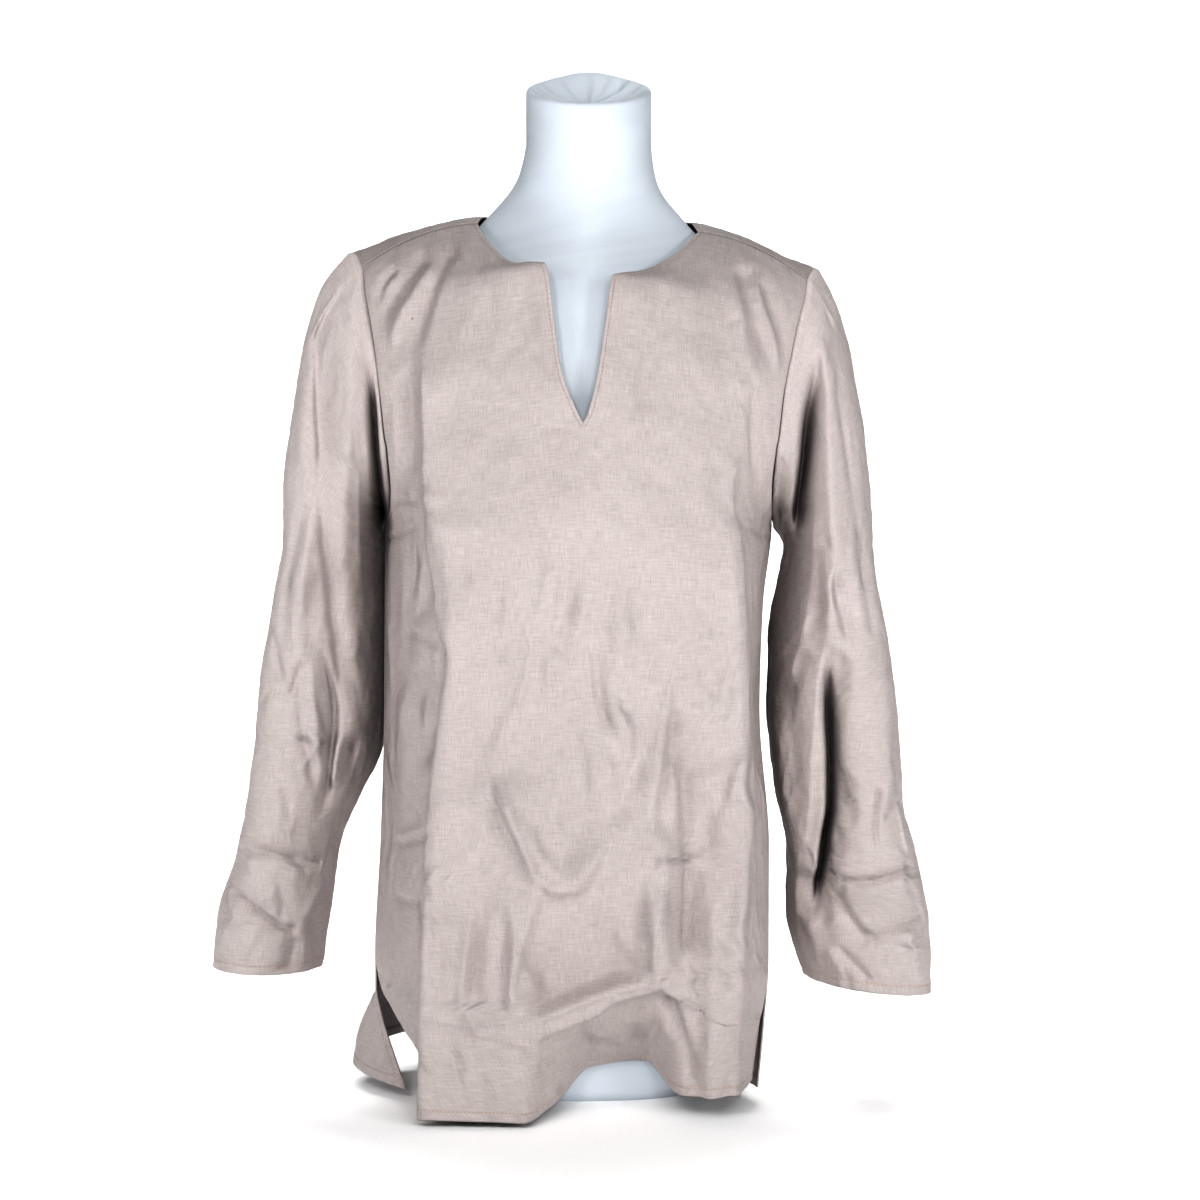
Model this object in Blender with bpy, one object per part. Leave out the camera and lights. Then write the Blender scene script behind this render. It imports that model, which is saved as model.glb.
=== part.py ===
"""Long-sleeved linen blouse with a notched round neck, on a white limbless dress form.

Metres, +Z up. The wearer faces -Y, and +X is to the right as seen from the front. The origin is
the centre of the form's flat base. The tables are in millimetres.
"""

import math

import bmesh
import bpy
import numpy as np

MM = 0.001

# Driving sizes, in millimetres.
CLOTH = 1.2
SEAM_GAP = 0.4
UNDERARM = 484
NOTCH_FOOT = 573
NOTCH_TOP = 697
SLIT_TOP = 115
BACK_NECK = 743
ARMHOLE_MIDDLE = 600
NECK_RADIUS = 53
NECK_TOP = 843
NECK_TILT = math.radians(17)

# How many faces each panel has from its middle to the fold at the corner of the body, from there
# to its side, and along its length between its marks; and the faces of a sleeve and the form.
# The marks are the hem, the slit's top, the underarm, the notch or neck, and the shoulder seam.
MIDDLE_FACES = 7
SIDE_FACES = 6
FRONT_FACES = (5, 9, 3, 5, 4)
BACK_FACES = (5, 9, 8, 4)
SLEEVE_FACES = 11
CAP_FACES = 5
FORM_SIDES = 36

# The right shoulder seam's wall, and the way its two edges stand apart.
SHOULDER_WALL = (0.30, -0.35, 0.89)
SHOULDER_GAP = (0.30, 0.915, 0.258)

# The colour and the roughness of the blouse's linen and of the form's cover.
LINEN = ((0.60, 0.49, 0.44), 0.85)
JERSEY = ((0.86, 0.88, 0.90), 0.7)

# One row for each level of a panel, from the hem to the shoulder seam. "inner" is the level's
# point on the centre line, the notch or the neckline, "corner" the fold where the front or back
# turns to the side, and "outer" the side seam or the armhole, each for the left (l) and right (r)
# half. "soft" rounds the corner off, "rise" lifts the ends of the left half, whose shoulder sits
# higher, and "lift" arches the level between its ends.
PANEL_COLUMNS = (
    "level", "inner_l", "inner_r", "inner_y", "inner_z", "corner_l", "corner_r", "corner_y",
    "outer_l", "outer_r", "outer_yl", "outer_yr", "outer_z", "soft", "rise_in", "rise_out", "lift",
)
FRONT = (
    (0, 0, 0, -128, 4, 131, 121, -125, 177, 142, 0, -34, 9, 4, 0, 0, 0),
    (60, 0, 0, -127, 64, 130, 123, -123, 177, 149, 0, -28, 66, 4, 0, 0, 0),
    (115, 0, 0, -125, 118, 128, 127, -120, 178, 156, 0, -20, 118, 5, 0, 0, 0),
    (215, 0, 0, -120, 217, 122, 132, -114, 173, 156, 0, -20, 215, 6, 0, 0, 0),
    (330, 0, 0, -114, 331, 110, 130, -108, 169, 148, 0, -10, 329, 8, 0, 0, 0),
    (420, 0, 0, -119, 421, 107, 127, -112, 168, 151, 0, 0, 418, 10, 0, 0, 0),
    (484, 0, 0, -123, 487, 114, 122, -112, 167, 158, 0, 0, 484, 14, 0, 0, 0),
    (505, 0, 0, -122, 509, 117, 120, -108, 161, 156, -32, -32, 499, 16, 0, 0, 0),
    (530, 0, 0, -120, 533, 119, 118, -103, 159, 155, -53, -53, 519, 18, 0, 0, 0),
    (573, 0, 0, -115, 573, 121, 118, -97, 161, 158, -66, -66, 553, 20, 0, 0, 0),
    (578, 3, 3, -114, 578, 121, 118, -96, 162, 159, -66, -66, 557, 20, 0, 0, 0),
    (620, 18, 12, -106, 616, 122, 118, -90, 166, 163, -67, -67, 593, 20, 2, 2, 0),
    (660, 24, 18, -96, 656, 122, 118, -80, 171, 170, -59, -59, 629, 20, 5, 5, 1),
    (697, 31, 24, -85, 691, 120, 118, -67, 177, 177, -49, -49, 659, 18, 9, 9, 2),
    (712, 57, 49, -70, 695, 122, 120, -60, 179, 180, -44, -44, 668, 14, 6, 10, 4),
    (726, 70, 67, -53, 704, 126, 124, -50, 180, 182, -40, -40, 675, 10, 6, 11, 6),
    (738, 81, 84, -33, 716, 131, 132, -38, 181, 183, -36, -36, 682, 10, 6, 11, 7),
    (748, 88, 95, -12, 728, 135, 138, -24, 182, 184, -32, -32, 688, 10, 7, 11, 8),
)
BACK = (
    (0, 0, 0, 112, 7, 146, 128, 92, 178, 147, 0, -34, 13, 20, 0, 0, 0),
    (60, 0, 0, 112, 62, 142, 132, 92, 178, 152, 0, -28, 66, 20, 0, 0, 0),
    (115, 0, 0, 110, 116, 136, 132, 90, 178, 156, 0, -20, 118, 20, 0, 0, 0),
    (215, 0, 0, 103, 215, 124, 128, 86, 173, 156, 0, -20, 215, 20, 0, 0, 0),
    (330, 0, 0, 90, 329, 112, 108, 78, 169, 148, 0, -10, 329, 20, 0, 0, 0),
    (420, 0, 0, 92, 420, 108, 100, 81, 168, 151, 0, 0, 418, 20, 0, 0, 0),
    (484, 0, 0, 96, 487, 108, 102, 86, 167, 158, 0, 0, 484, 22, 0, 0, 0),
    (505, 0, 0, 97, 509, 108, 104, 88, 160, 155, 34, 34, 499, 22, 0, 0, 0),
    (530, 0, 0, 98, 533, 108, 106, 88, 154, 151, 54, 54, 519, 20, 0, 0, 0),
    (570, 0, 0, 98, 572, 110, 108, 88, 153, 151, 66, 66, 553, 20, 0, 0, 0),
    (620, 0, 0, 94, 622, 112, 110, 83, 160, 158, 62, 62, 600, 20, 0, 2, 0),
    (660, 0, 0, 88, 662, 114, 112, 73, 170, 168, 49, 49, 643, 18, 0, 4, 0),
    (700, 0, 0, 78, 701, 114, 112, 58, 182, 181, 29, 29, 678, 16, 0, 7, 1),
    (722, 0, 0, 70, 721, 112, 110, 48, 189, 188, 14, 14, 692, 14, 0, 11, 2),
    (743, 0, 0, 62, 736, 104, 102, 38, 192, 192, 0, 0, 699, 12, 0, 13, 4),
    (756, 42, 42, 54, 738, 116, 116, 25, 191, 191, -9, -9, 698, 10, 1, 13, 6),
    (768, 68, 68, 36, 738, 126, 127, 11, 188, 189, -17, -17, 696, 10, 3, 13, 8),
    (780, 84, 88, 13, 735, 133, 134, -6, 185, 186, -25, -25, 692, 10, 6, 12, 8),
    (790, 88, 95, -12, 728, 135, 138, -24, 182, 184, -32, -32, 688, 10, 7, 11, 8),
)

# One row for each ring of a sleeve, from the cuff to the underarm: its height at the body side
# and at the outer side, its two edges across, its front and back, and how far its front leans
# out and its back in.
SLEEVE_COLUMNS = ("inner_z", "outer_z", "inner", "outer", "front", "back", "lean")
LEFT_SLEEVE = (
    (107, 112, 224, 313, -46, 30, 0),
    (157, 161, 216, 307, -50, 34, 0),
    (209, 212, 209, 291, -52, 38, 4),
    (260, 262, 189, 279, -54, 42, 8),
    (294, 296, 176, 272, -56, 46, 13),
    (345, 347, 171, 265, -58, 50, 15),
    (413, 414, 170, 257, -58, 52, 15),
    (462, 466, 171, 249, -60, 55, 10),
)
RIGHT_SLEEVE = (
    (100, 90, 187, 293, -46, 30, 0),
    (157, 150, 172, 291, -50, 34, 0),
    (209, 204, 172, 280, -54, 38, 0),
    (260, 257, 162, 268, -56, 42, 0),
    (294, 292, 158, 266, -58, 46, 0),
    (345, 345, 155, 261, -58, 50, 0),
    (396, 396, 157, 253, -58, 52, 0),
    (430, 431, 163, 247, -59, 54, 0),
    (462, 466, 169, 241, -60, 55, 0),
)
# How full each sleeve's cap is: how far it leaves the armhole before it turns down.
LEFT_CAP = 0.80
RIGHT_CAP = 0.54

# The largest folds, each a ridge (+) or a trough (-) along a bent line through three points.
# On a panel the points are across and up; on a sleeve they are degrees round it from the body
# side, through the front, and up.
FRONT_FOLDS = (
    (30, 440, 20, 250, 60, 110, 5, 24),
    (-70, 330, -52, 200, -66, 20, 6, 20),
    (-20, 260, 0, 170, -12, 60, -5, 18),
    (95, 300, 92, 170, 96, 0, 6, 16),
)
BACK_FOLDS = (
    (-60, 560, -75, 330, -70, 0, 9, 34),
    (70, 540, 62, 330, 76, 0, 9, 34),
    (0, 420, 5, 250, 0, 0, -7, 30),
)
LEFT_FOLDS = (
    (95, 560, 110, 380, 80, 230, 8, 22),
    (150, 440, 150, 330, 160, 210, 5, 22),
    (250, 480, 240, 330, 250, 200, 7, 30),
)
RIGHT_FOLDS = (
    (88, 520, 82, 320, 66, 190, -11, 17),
    (140, 460, 135, 330, 130, 220, 6, 22),
    (250, 480, 240, 330, 250, 200, 7, 30),
)

# The pressed crease above each hem, across it: its height, how far the cloth below it has turned
# back, in degrees, and how far its small folds take the hem up.
CREASE_COLUMNS = ("x", "height", "turn", "up")
FRONT_CREASE = (
    (-180, 88, 0, 0),
    (-128, 88, 0, 0),
    (-50, 84, 0, 0),
    (-30, 92, 15, 1),
    (5, 105, 42, 5),
    (54, 120, 38, 6),
    (84, 112, 12, 13),
    (118, 92, 8, 15),
    (160, 80, 0, 4),
)
BACK_CREASE = (
    (-180, 90, 0, 0),
    (-168, 92, 12, 4),
    (-148, 95, 36, 8),
    (-115, 90, 30, 6),
    (-60, 80, 8, 0),
    (0, 80, 0, 0),
    (160, 80, 0, 0),
)

# How the left slit's edges have moved at each level: in, up and forward at the edge, and how far
# the cloth before the edge bulges out. Each starts so far from the edge.
SLIT_COLUMNS = ("level", "in", "up", "forward", "bulge")
FRONT_SLIT = (
    (9, 60, 36, 0, -18),
    (30, 50, 27, 0, -15),
    (50, 35, 15, 0, -8),
    (69, 15, 5, 0, -1),
    (92, 4, 0, 0, 0),
    (115, 0, 0, 0, 0),
)
BACK_SLIT = (
    (7, 30, -3, 38, 52),
    (40, 16, -1, 20, 40),
    (69, 5, 0, 7, 24),
    (92, 0, 0, 0.5, 10),
    (115, 0, 0, 0, 0),
)
FRONT_SLIT_REACH = 128
BACK_SLIT_REACH = 100

# The form: each ring's height, half width, front and back, how far its middle is shifted, and
# its front's roundness: 2 is an ellipse, and less draws its two ends out into the shoulders.
FORM = (
    (0, 84, -30, 62, 0, 2.0),
    (6, 88, -33, 66, 0, 2.0),
    (30, 94, -37, 72, -2, 2.0),
    (60, 110, -54, 80, -5, 2.0),
    (90, 126, -76, 86, -8, 2.0),
    (120, 136, -90, 88, -9, 2.1),
    (170, 137, -94, 86, -9, 2.1),
    (240, 128, -88, 79, -8, 2.0),
    (330, 117, -84, 69, -7, 2.0),
    (400, 125, -92, 71, -6, 2.0),
    (480, 140, -107, 77, -4, 2.1),
    (530, 143, -104, 79, -3, 2.1),
    (580, 145, -96, 79, -2, 2.1),
    (630, 150, -86, 76, -1, 2.0),
    (665, 155, -74, 66, 0, 1.8),
    (684, 155, -66, 58, 0, 1.55),
    (697, 146, -60, 54, 0, 1.4),
    (709, 124, -56, 50, -1, 1.3),
    (722, 98, -52, 47, -2, 1.2),
    (735, 81, -49, 45, -3, 1.2),
    (746, 72, -48, 47, -2, 1.35),
    (755, 67, -47, 50, 0, 1.8),
    (764, 61, -47, 51, 2, 2.0),
    (780, 56, -48, 52, 3, 2.0),
    (800, NECK_RADIUS, -49, 53, 4, 2.0),
)
# The neck's top, from its rim in: each ring's share of the neck's width, and how far it sinks.
NECK_DISH = ((1, 0), (0.95, -2), (0.85, 0), (0.7, 6), (0.4, 10), (0, 10))


def table(names, rows):
    """The rows as a dictionary of columns."""
    return {name: np.array(column, float) for name, column in zip(names, zip(*rows))}


def through(knots, values, at):
    """A smooth curve through the values at the knots, which never overshoots them."""
    step = np.diff(knots)
    slope = np.diff(values) / step
    before, after = slope[:-1], slope[1:]
    steady = before * after > 0
    middle = np.zeros(len(knots))
    middle[1:-1][steady] = 2 * before[steady] * after[steady] / (before + after)[steady]
    middle[0], middle[-1] = slope[0], slope[-1]
    i = np.clip(np.searchsorted(knots, at) - 1, 0, len(step) - 1)
    t = np.clip((at - knots[i]) / step[i], 0, 1)
    start = (1 + 2 * t) * (1 - t) ** 2 * values[i] + t * (1 - t) ** 2 * step[i] * middle[i]
    end = t * t * (3 - 2 * t) * values[i + 1] - t * t * (1 - t) * step[i] * middle[i + 1]
    return start + end


def spaced(line, count):
    """Points that cut a line into so many equal lengths."""
    along = np.concatenate([[0], np.cumsum(np.linalg.norm(np.diff(line, axis=0), axis=1))])
    shares = np.linspace(0, along[-1], count + 1)
    return np.stack([np.interp(shares, along, line[:, k]) for k in range(3)], axis=1)


def smoothstep(t):
    t = np.clip(t, 0, 1)
    return t * t * (3 - 2 * t)


def unit(vectors):
    return vectors / np.maximum(np.linalg.norm(vectors, axis=-1, keepdims=True), 1e-9)


def level_line(row):
    """One level of a half panel: points from the middle out, and the corner's number."""
    across = np.linspace(0, 1, 201)
    width = row["outer"] - row["inner"]
    corner = (row["corner"] - row["inner"]) / width
    middle = row["inner_y"] + (row["corner_y"] - row["inner_y"]) * (across / corner) ** 2
    out = (across - corner) / (1 - corner)
    side = row["corner_y"] + (row["outer_y"] - row["corner_y"]) * (0.6 * out + 0.4 * out**3)
    sharp = np.where(out < 0, middle, side)
    shifts = np.linspace(-1, 1, 9) * row["soft"] / width
    y = np.mean([np.interp(across + shift, across, sharp) for shift in shifts], axis=0)
    y += (row["inner_y"] - y[0]) * (1 - across) + (row["outer_y"] - y[-1]) * across
    z = row["inner_z"] + (row["outer_z"] - row["inner_z"]) * across
    z += row["rise_in"] * (1 - across) + row["rise_out"] * across
    z += row["lift"] * 4 * across * (1 - across)
    return np.stack([row["inner"] + width * across, y, z], axis=1), int(round(corner * 200))


def half_panel(rows, side, levels, faces):
    """Points [level, way out, xyz] of half a panel. Side is -1 for left and 1 for right."""
    columns = table(PANEL_COLUMNS, rows)
    half = "l" if side < 0 else "r"
    points = []
    for level in levels:
        row = {k: through(columns["level"], v, np.array([level]))[0] for k, v in columns.items()}
        row |= {name: row[f"{name}_{half}"] for name in ("inner", "corner", "outer")}
        row["outer_y"] = row["outer_y" + half]
        row["rise_in"], row["rise_out"] = row["rise_in"] * (side < 0), row["rise_out"] * (side < 0)
        line, corner = level_line(row)
        middle, out = spaced(line[: corner + 1], faces[0]), spaced(line[corner:], faces[1])
        points.append(np.concatenate([middle, out[1:]]) * (side, 1, 1))
    return np.array(points)


def outward_normals(points, outward, closed=False):
    """The unit normal at each point of a grid, on the side that the sign "outward" picks."""
    if closed:
        ring = points[:, :-1]
        across = np.roll(ring, -1, axis=1) - np.roll(ring, 1, axis=1)
        across = np.concatenate([across, across[:, :1]], axis=1)
    else:
        across = np.gradient(points, axis=1)
    return outward * unit(np.cross(across, np.gradient(points, axis=0)))


def panel_normals(points, side, facing):
    """A half panel's outward normals, the same on both halves down the middle."""
    normal = outward_normals(points, -side * facing)
    foot = panel_opening(facing)
    normal[: foot + 1, 0, 0] = 0
    normal[foot, 0] = normal[foot - 1, 0]
    return unit(normal)


def fold_height(across, up, folds):
    """The height of all the folds at points given by two coordinates."""
    total = np.zeros(np.shape(across))
    t = np.linspace(0, 1, 25)
    for x0, z0, x1, z1, x2, z2, height, width in folds:
        # The middle point lies on the line, so the curve's control point is beyond it.
        control_x, control_z = 2 * x1 - (x0 + x2) / 2, 2 * z1 - (z0 + z2) / 2
        line_x = (1 - t) ** 2 * x0 + 2 * t * (1 - t) * control_x + t * t * x2
        line_z = (1 - t) ** 2 * z0 + 2 * t * (1 - t) * control_z + t * t * z2
        reach = np.hypot(across[..., None] - line_x, up[..., None] - line_z)
        near = reach.min(axis=-1)
        share = t[reach.argmin(axis=-1)]
        fade = smoothstep(share / 0.3) * smoothstep((1 - share) / 0.3 + (z2 < 60))
        total += height * fade * np.exp(-((near / width) ** 2))
    return total


def turn_hem(points, rows):
    """Turns a panel back below the pressed crease."""
    crease = table(CREASE_COLUMNS, rows)
    height = through(crease["x"], crease["height"], points[..., 0])
    turn = np.radians(through(crease["x"], crease["turn"], points[..., 0]))
    below = np.maximum(height - points[..., 2], 0)
    moved = points.copy()
    moved[..., 1] += below * np.sin(turn)
    moved[..., 2] += below * (1 - np.cos(turn))
    moved[..., 2] += through(crease["x"], crease["up"], points[..., 0]) * smoothstep(below / 25)
    return moved


def move_slit(points, rows, reach):
    """Moves the left slit's edge in, up and forward, and the cloth before it out."""
    slit = table(SLIT_COLUMNS, rows)
    along = np.linalg.norm(np.diff(points[:, ::-1], axis=1), axis=2).cumsum(axis=1)[:, ::-1]
    share = np.clip(1 - np.pad(along, ((0, 0), (0, 1))) / reach, 0, 1)
    height = np.minimum(points[:, -1:, 2], slit["level"][-1])
    by = {name: through(slit["level"], column, height) for name, column in slit.items()}
    moved = points.copy()
    moved[..., 0] += by["in"] * share - by["bulge"] * 4 * share * (1 - share)
    moved[..., 1] -= by["forward"] * share**2
    moved[..., 2] += by["up"] * share
    return moved


def panel_levels(facing):
    """A panel's levels from the hem up, evenly spaced between its marks."""
    if facing < 0:
        marks, faces = (0, SLIT_TOP, UNDERARM, NOTCH_FOOT, NOTCH_TOP, FRONT[-1][0]), FRONT_FACES
    else:
        marks, faces = (0, SLIT_TOP, UNDERARM, BACK_NECK, BACK[-1][0]), BACK_FACES
    parts = [np.linspace(a, b, n, endpoint=False) for a, b, n in zip(marks, marks[1:], faces)]
    return np.concatenate([*parts, [marks[-1]]])


def panel_opening(facing):
    """The row of points where a panel's middle opens into the notch or the neck."""
    return sum(FRONT_FACES[:3]) if facing < 0 else sum(BACK_FACES[:3])


def finished_half(side, facing):
    """Points of one half of the front or the back, with its folds."""
    rows, folds = (FRONT, FRONT_FOLDS) if facing < 0 else (BACK, BACK_FOLDS)
    levels = panel_levels(facing)
    points = half_panel(rows, side, levels, (MIDDLE_FACES, SIDE_FACES))
    height = fold_height(points[..., 0], points[..., 2], folds)
    # Folds die away towards the side, so that the seams still meet.
    height *= smoothstep(np.arange(points.shape[1])[::-1] / 3)
    points = points + panel_normals(points, side, facing) * height[..., None]
    points = turn_hem(points, FRONT_CREASE if facing < 0 else BACK_CREASE)
    if side < 0:
        rows, reach = (FRONT_SLIT, FRONT_SLIT_REACH) if facing < 0 else (BACK_SLIT, BACK_SLIT_REACH)
        points = move_slit(points, rows, reach)
    return points


def armhole(side):
    """The armhole's points, up the front, over the shoulder and down the back."""
    lines = []
    for rows, facing in ((FRONT, -1), (BACK, 1)):
        levels = panel_levels(facing)
        lines.append(half_panel(rows, side, levels[levels >= UNDERARM], (1, 1))[:, -1])
    return np.concatenate([lines[0], lines[1][::-1][1:]])


def armhole_walls(normal, edge):
    """The way through the cloth at an armhole: along its spokes, where the cloth allows."""
    spoke = unit((edge - (0, 0, ARMHOLE_MIDDLE)) * (0, 1, 1))
    agree = smoothstep((normal * spoke).sum(axis=1, keepdims=True) / 0.5)
    return unit(normal * (1 - agree) + spoke * agree)


def panel_sheet(side, facing):
    """The outer and inner points of half a panel, and the row where its middle opens."""
    outer = finished_half(side, facing)
    wall = panel_normals(outer, side, facing)
    below = panel_levels(facing) <= UNDERARM
    wall[below, -1] = (side, 0, 0)
    wall[~below, -1] = armhole_walls(wall[~below, -1], outer[~below, -1])
    wall[-1, :-1] = (SHOULDER_WALL[0] * side, *SHOULDER_WALL[1:])
    # Half of each seam's gap comes off either piece.
    outer[below, -1, 1] += facing * SEAM_GAP / 2
    outer[-1] += facing * SEAM_GAP / 2 * np.array((SHOULDER_GAP[0] * side, *SHOULDER_GAP[1:]))
    return outer, outer - CLOTH * unit(wall), panel_opening(facing)


def sleeve_ring(row, side, turn):
    """One ring of a sleeve below the underarm."""
    middle, half = (row["inner"] + row["outer"]) / 2, (row["outer"] - row["inner"]) / 2
    x = middle - half * np.cos(turn) + row["lean"] * np.sin(turn)
    y = (row["front"] + row["back"]) / 2 - (row["back"] - row["front"]) / 2 * np.sin(turn)
    z = row["inner_z"] + (row["outer_z"] - row["inner_z"]) * (1 - np.cos(turn)) / 2
    return np.stack([side * x, y, z], axis=1)


def sleeve_sheet(rows, folds, cap, side):
    """The outer and inner points of a sleeve, from the cuff to its cap in the armhole."""
    columns = table(SLEEVE_COLUMNS, rows)
    knots, top = columns["inner_z"], armhole(side) + (side * SEAM_GAP, 0, 0)
    turn = np.linspace(0, 2 * math.pi, len(top))
    rings = []
    for height in np.linspace(knots[0], knots[-1], SLEEVE_FACES + 1):
        row = {k: through(knots, v, np.array([height]))[0] for k, v in columns.items()}
        rings.append(sleeve_ring(row, side, turn))
    base = rings[-1]
    rise = np.linalg.norm(top - base, axis=1, keepdims=True)
    leave, arrive = rise * (0, 0, 0.8), rise * (-cap * side, 0, 0.55)
    for t in np.linspace(0, 1, CAP_FACES + 1)[1:]:
        start = (1 + 2 * t) * (1 - t) ** 2 * base + t * (1 - t) ** 2 * leave
        rings.append(start + t * t * (3 - 2 * t) * top - t * t * (1 - t) * arrive)
    points = np.array(rings)
    normal = outward_normals(points, side, closed=True)
    height = fold_height(np.degrees(turn) + 0 * points[..., 0], points[..., 2], folds)
    height *= smoothstep(np.arange(len(points))[::-1] / 5)[:, None]
    outer = points + normal * height[..., None]
    wall = outward_normals(outer, side, closed=True)
    wall[-1] = armhole_walls(wall[-1], outer[-1])
    return outer, outer - CLOTH * wall


def add_grid(mesh, points):
    """A grid of faces through points [row, column, xyz]."""
    rows, columns = points.shape[0] - 1, points.shape[1] - 1
    made = bmesh.ops.create_grid(mesh, x_segments=columns, y_segments=rows, size=0.5)["verts"]
    for vertex in made:
        j, i = round((vertex.co.x + 0.5) * columns), round((vertex.co.y + 0.5) * rows)
        vertex.co = points[i, j] * MM


def closed_mesh(name, grids):
    """One closed mesh from grids that meet along their edges."""
    mesh = bmesh.new()
    for points in grids:
        add_grid(mesh, points)
    bmesh.ops.remove_doubles(mesh, verts=mesh.verts, dist=1e-6)
    bmesh.ops.dissolve_degenerate(mesh, edges=mesh.edges, dist=1e-7)
    bmesh.ops.recalc_face_normals(mesh, faces=mesh.faces)
    data = bpy.data.meshes.new(name)
    mesh.to_mesh(data)
    mesh.free()
    return data


def sheet_grids(outer, inner, opening=None):
    """The grids that close a sheet: its two faces, its ends, and the edges that stand open."""
    pair = np.stack([outer, inner])
    grids = [outer, inner, pair[:, 0], pair[:, -1]]
    if opening is not None:
        grids += [pair[:, :, -1], pair[:, opening:, 0]]
    return grids


def form_grids():
    """The form from its base to the slanted top of its neck, and the dish in it."""
    turn = np.linspace(0, 2 * math.pi, FORM_SIDES + 1)
    rings = []
    for z, half, front, back, shift, roundness in FORM:
        ahead = np.sin(turn) < 0
        power = np.where(ahead, 2 / roundness, 2 / max(roundness, 1.8))
        x = half * np.sign(np.cos(turn)) * np.abs(np.cos(turn)) ** power
        y = np.where(ahead, front, back) * np.abs(np.sin(turn)) ** power
        rings.append(np.stack([x + shift, y, 0 * turn + z], axis=1))
    middle = (FORM[-1][4], 0, 0)
    neck = rings[-1] - middle
    for share, sink in NECK_DISH:
        ring = neck * (share, share, 0)
        ring[:, 2] = NECK_TOP + ring[:, 1] * math.tan(NECK_TILT) - sink
        rings.append(ring + middle)
    rings.insert(0, rings[0] * (0, 0, 1))
    return [np.array(rings)]


def surface(name, color, roughness):
    """A plain material."""
    material = bpy.data.materials.new(name)
    material.use_nodes = True
    shader = material.node_tree.nodes["Principled BSDF"]
    shader.inputs["Base Color"].default_value = (*color, 1)
    shader.inputs["Roughness"].default_value = roughness
    shader.inputs["Metallic"].default_value = 0.0
    return material


def add_object(name, grids, cloth, color, roughness):
    """An object with a material of its own, shaded smooth."""
    data = closed_mesh(name, grids)
    data.materials.append(surface(f"{name}_{cloth}", color, roughness))
    data.shade_smooth()
    bpy.context.scene.collection.objects.link(bpy.data.objects.new(name, data))


def build():
    for item in list(bpy.data.objects):
        bpy.data.objects.remove(item)
    for name, facing in (("front", -1), ("back", 1)):
        halves = [sheet_grids(*panel_sheet(side, facing)) for side in (-1, 1)]
        add_object(name, halves[0] + halves[1], "linen", *LINEN)
    left = sleeve_sheet(LEFT_SLEEVE, LEFT_FOLDS, LEFT_CAP, -1)
    right = sleeve_sheet(RIGHT_SLEEVE, RIGHT_FOLDS, RIGHT_CAP, 1)
    add_object("sleeve_left", sheet_grids(*left), "linen", *LINEN)
    add_object("sleeve_right", sheet_grids(*right), "linen", *LINEN)
    add_object("dress_form", form_grids(), "jersey", *JERSEY)


build()
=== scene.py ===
# A long-sleeved linen blouse with a notched round neck, on a white limbless dress form.
# The wearer faces -Y and +X is to the right as seen from the front. Tables and sizes are in
# millimetres unless a comment says otherwise. A facing of -1 is the front and 1 the back, and a
# side of -1 is the left and 1 the right.

import math

import bmesh
import bpy
import numpy as np
from mathutils import Matrix, Vector, noise
from mathutils.bvhtree import BVHTree


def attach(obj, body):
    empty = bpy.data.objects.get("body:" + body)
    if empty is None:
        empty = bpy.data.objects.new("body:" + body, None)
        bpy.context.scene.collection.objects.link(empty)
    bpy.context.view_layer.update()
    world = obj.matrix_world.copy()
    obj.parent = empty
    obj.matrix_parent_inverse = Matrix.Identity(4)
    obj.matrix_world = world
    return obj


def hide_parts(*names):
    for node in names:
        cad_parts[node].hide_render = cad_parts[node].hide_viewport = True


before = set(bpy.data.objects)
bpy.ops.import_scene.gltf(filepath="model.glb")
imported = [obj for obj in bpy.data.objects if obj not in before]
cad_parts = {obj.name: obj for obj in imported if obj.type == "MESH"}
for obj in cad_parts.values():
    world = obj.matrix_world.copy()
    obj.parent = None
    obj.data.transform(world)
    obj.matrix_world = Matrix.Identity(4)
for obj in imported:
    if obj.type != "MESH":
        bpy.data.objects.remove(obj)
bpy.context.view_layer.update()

MM = 0.001

# Driving sizes: the marks along a panel, and the form's neck.
UNDERARM = 484
NOTCH_FOOT = 573
NOTCH_TOP = 697
SLIT_TOP = 115
BACK_NECK = 743
NECK_RADIUS = 53
NECK_FOOT = 800
NECK_TOP = 843
NECK_TILT = math.radians(17)

# The cloth is this thick where its edge is turned in and stitched down, and half of it elsewhere.
TURNED_CLOTH = 1.5
# How wide the turnings are at the body's hems and the cuffs, at the slits and round the neck, and
# how far in the row along the back's shoulder edge lies.
HEM_TURNING = 8
SLIT_TURNING = 6
NECK_TURNING = 3.5
SHOULDER_ROW = 2.5
STITCH_LENGTH = 2.5
STITCH_PITCH = 3.3
THREAD = 0.5
THREAD_LIFT = 0.12

# The marks along each panel with the number of faces between them, and where its columns lie.
# The notch or the neckline opens at the end of the fourth run of faces.
FRONT_MARKS = (0, 12, SLIT_TOP, UNDERARM, NOTCH_FOOT, NOTCH_TOP, 736, 748)
FRONT_FACES = (7, 34, 115, 28, 40, 14, 6)
BACK_MARKS = (0, 12, SLIT_TOP, UNDERARM, BACK_NECK, 778, 790)
BACK_FACES = (7, 34, 113, 78, 13, 6)
RUNS_TO_OPENING = 4
MIDDLE_SHARES = np.interp(np.linspace(0, 1, 47), (0, 0.15, 0.85, 1), (0, 0.06, 0.87, 1))
SIDE_SHARES = np.interp(np.linspace(0, 1, 45), (0, 0.3, 0.88, 1), (0, 0.2, 0.965, 1))
# A level is drawn through this many steps, and its side bows in by this share.
LEVEL_STEPS = 400
SIDE_BOW = 0.4
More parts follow.
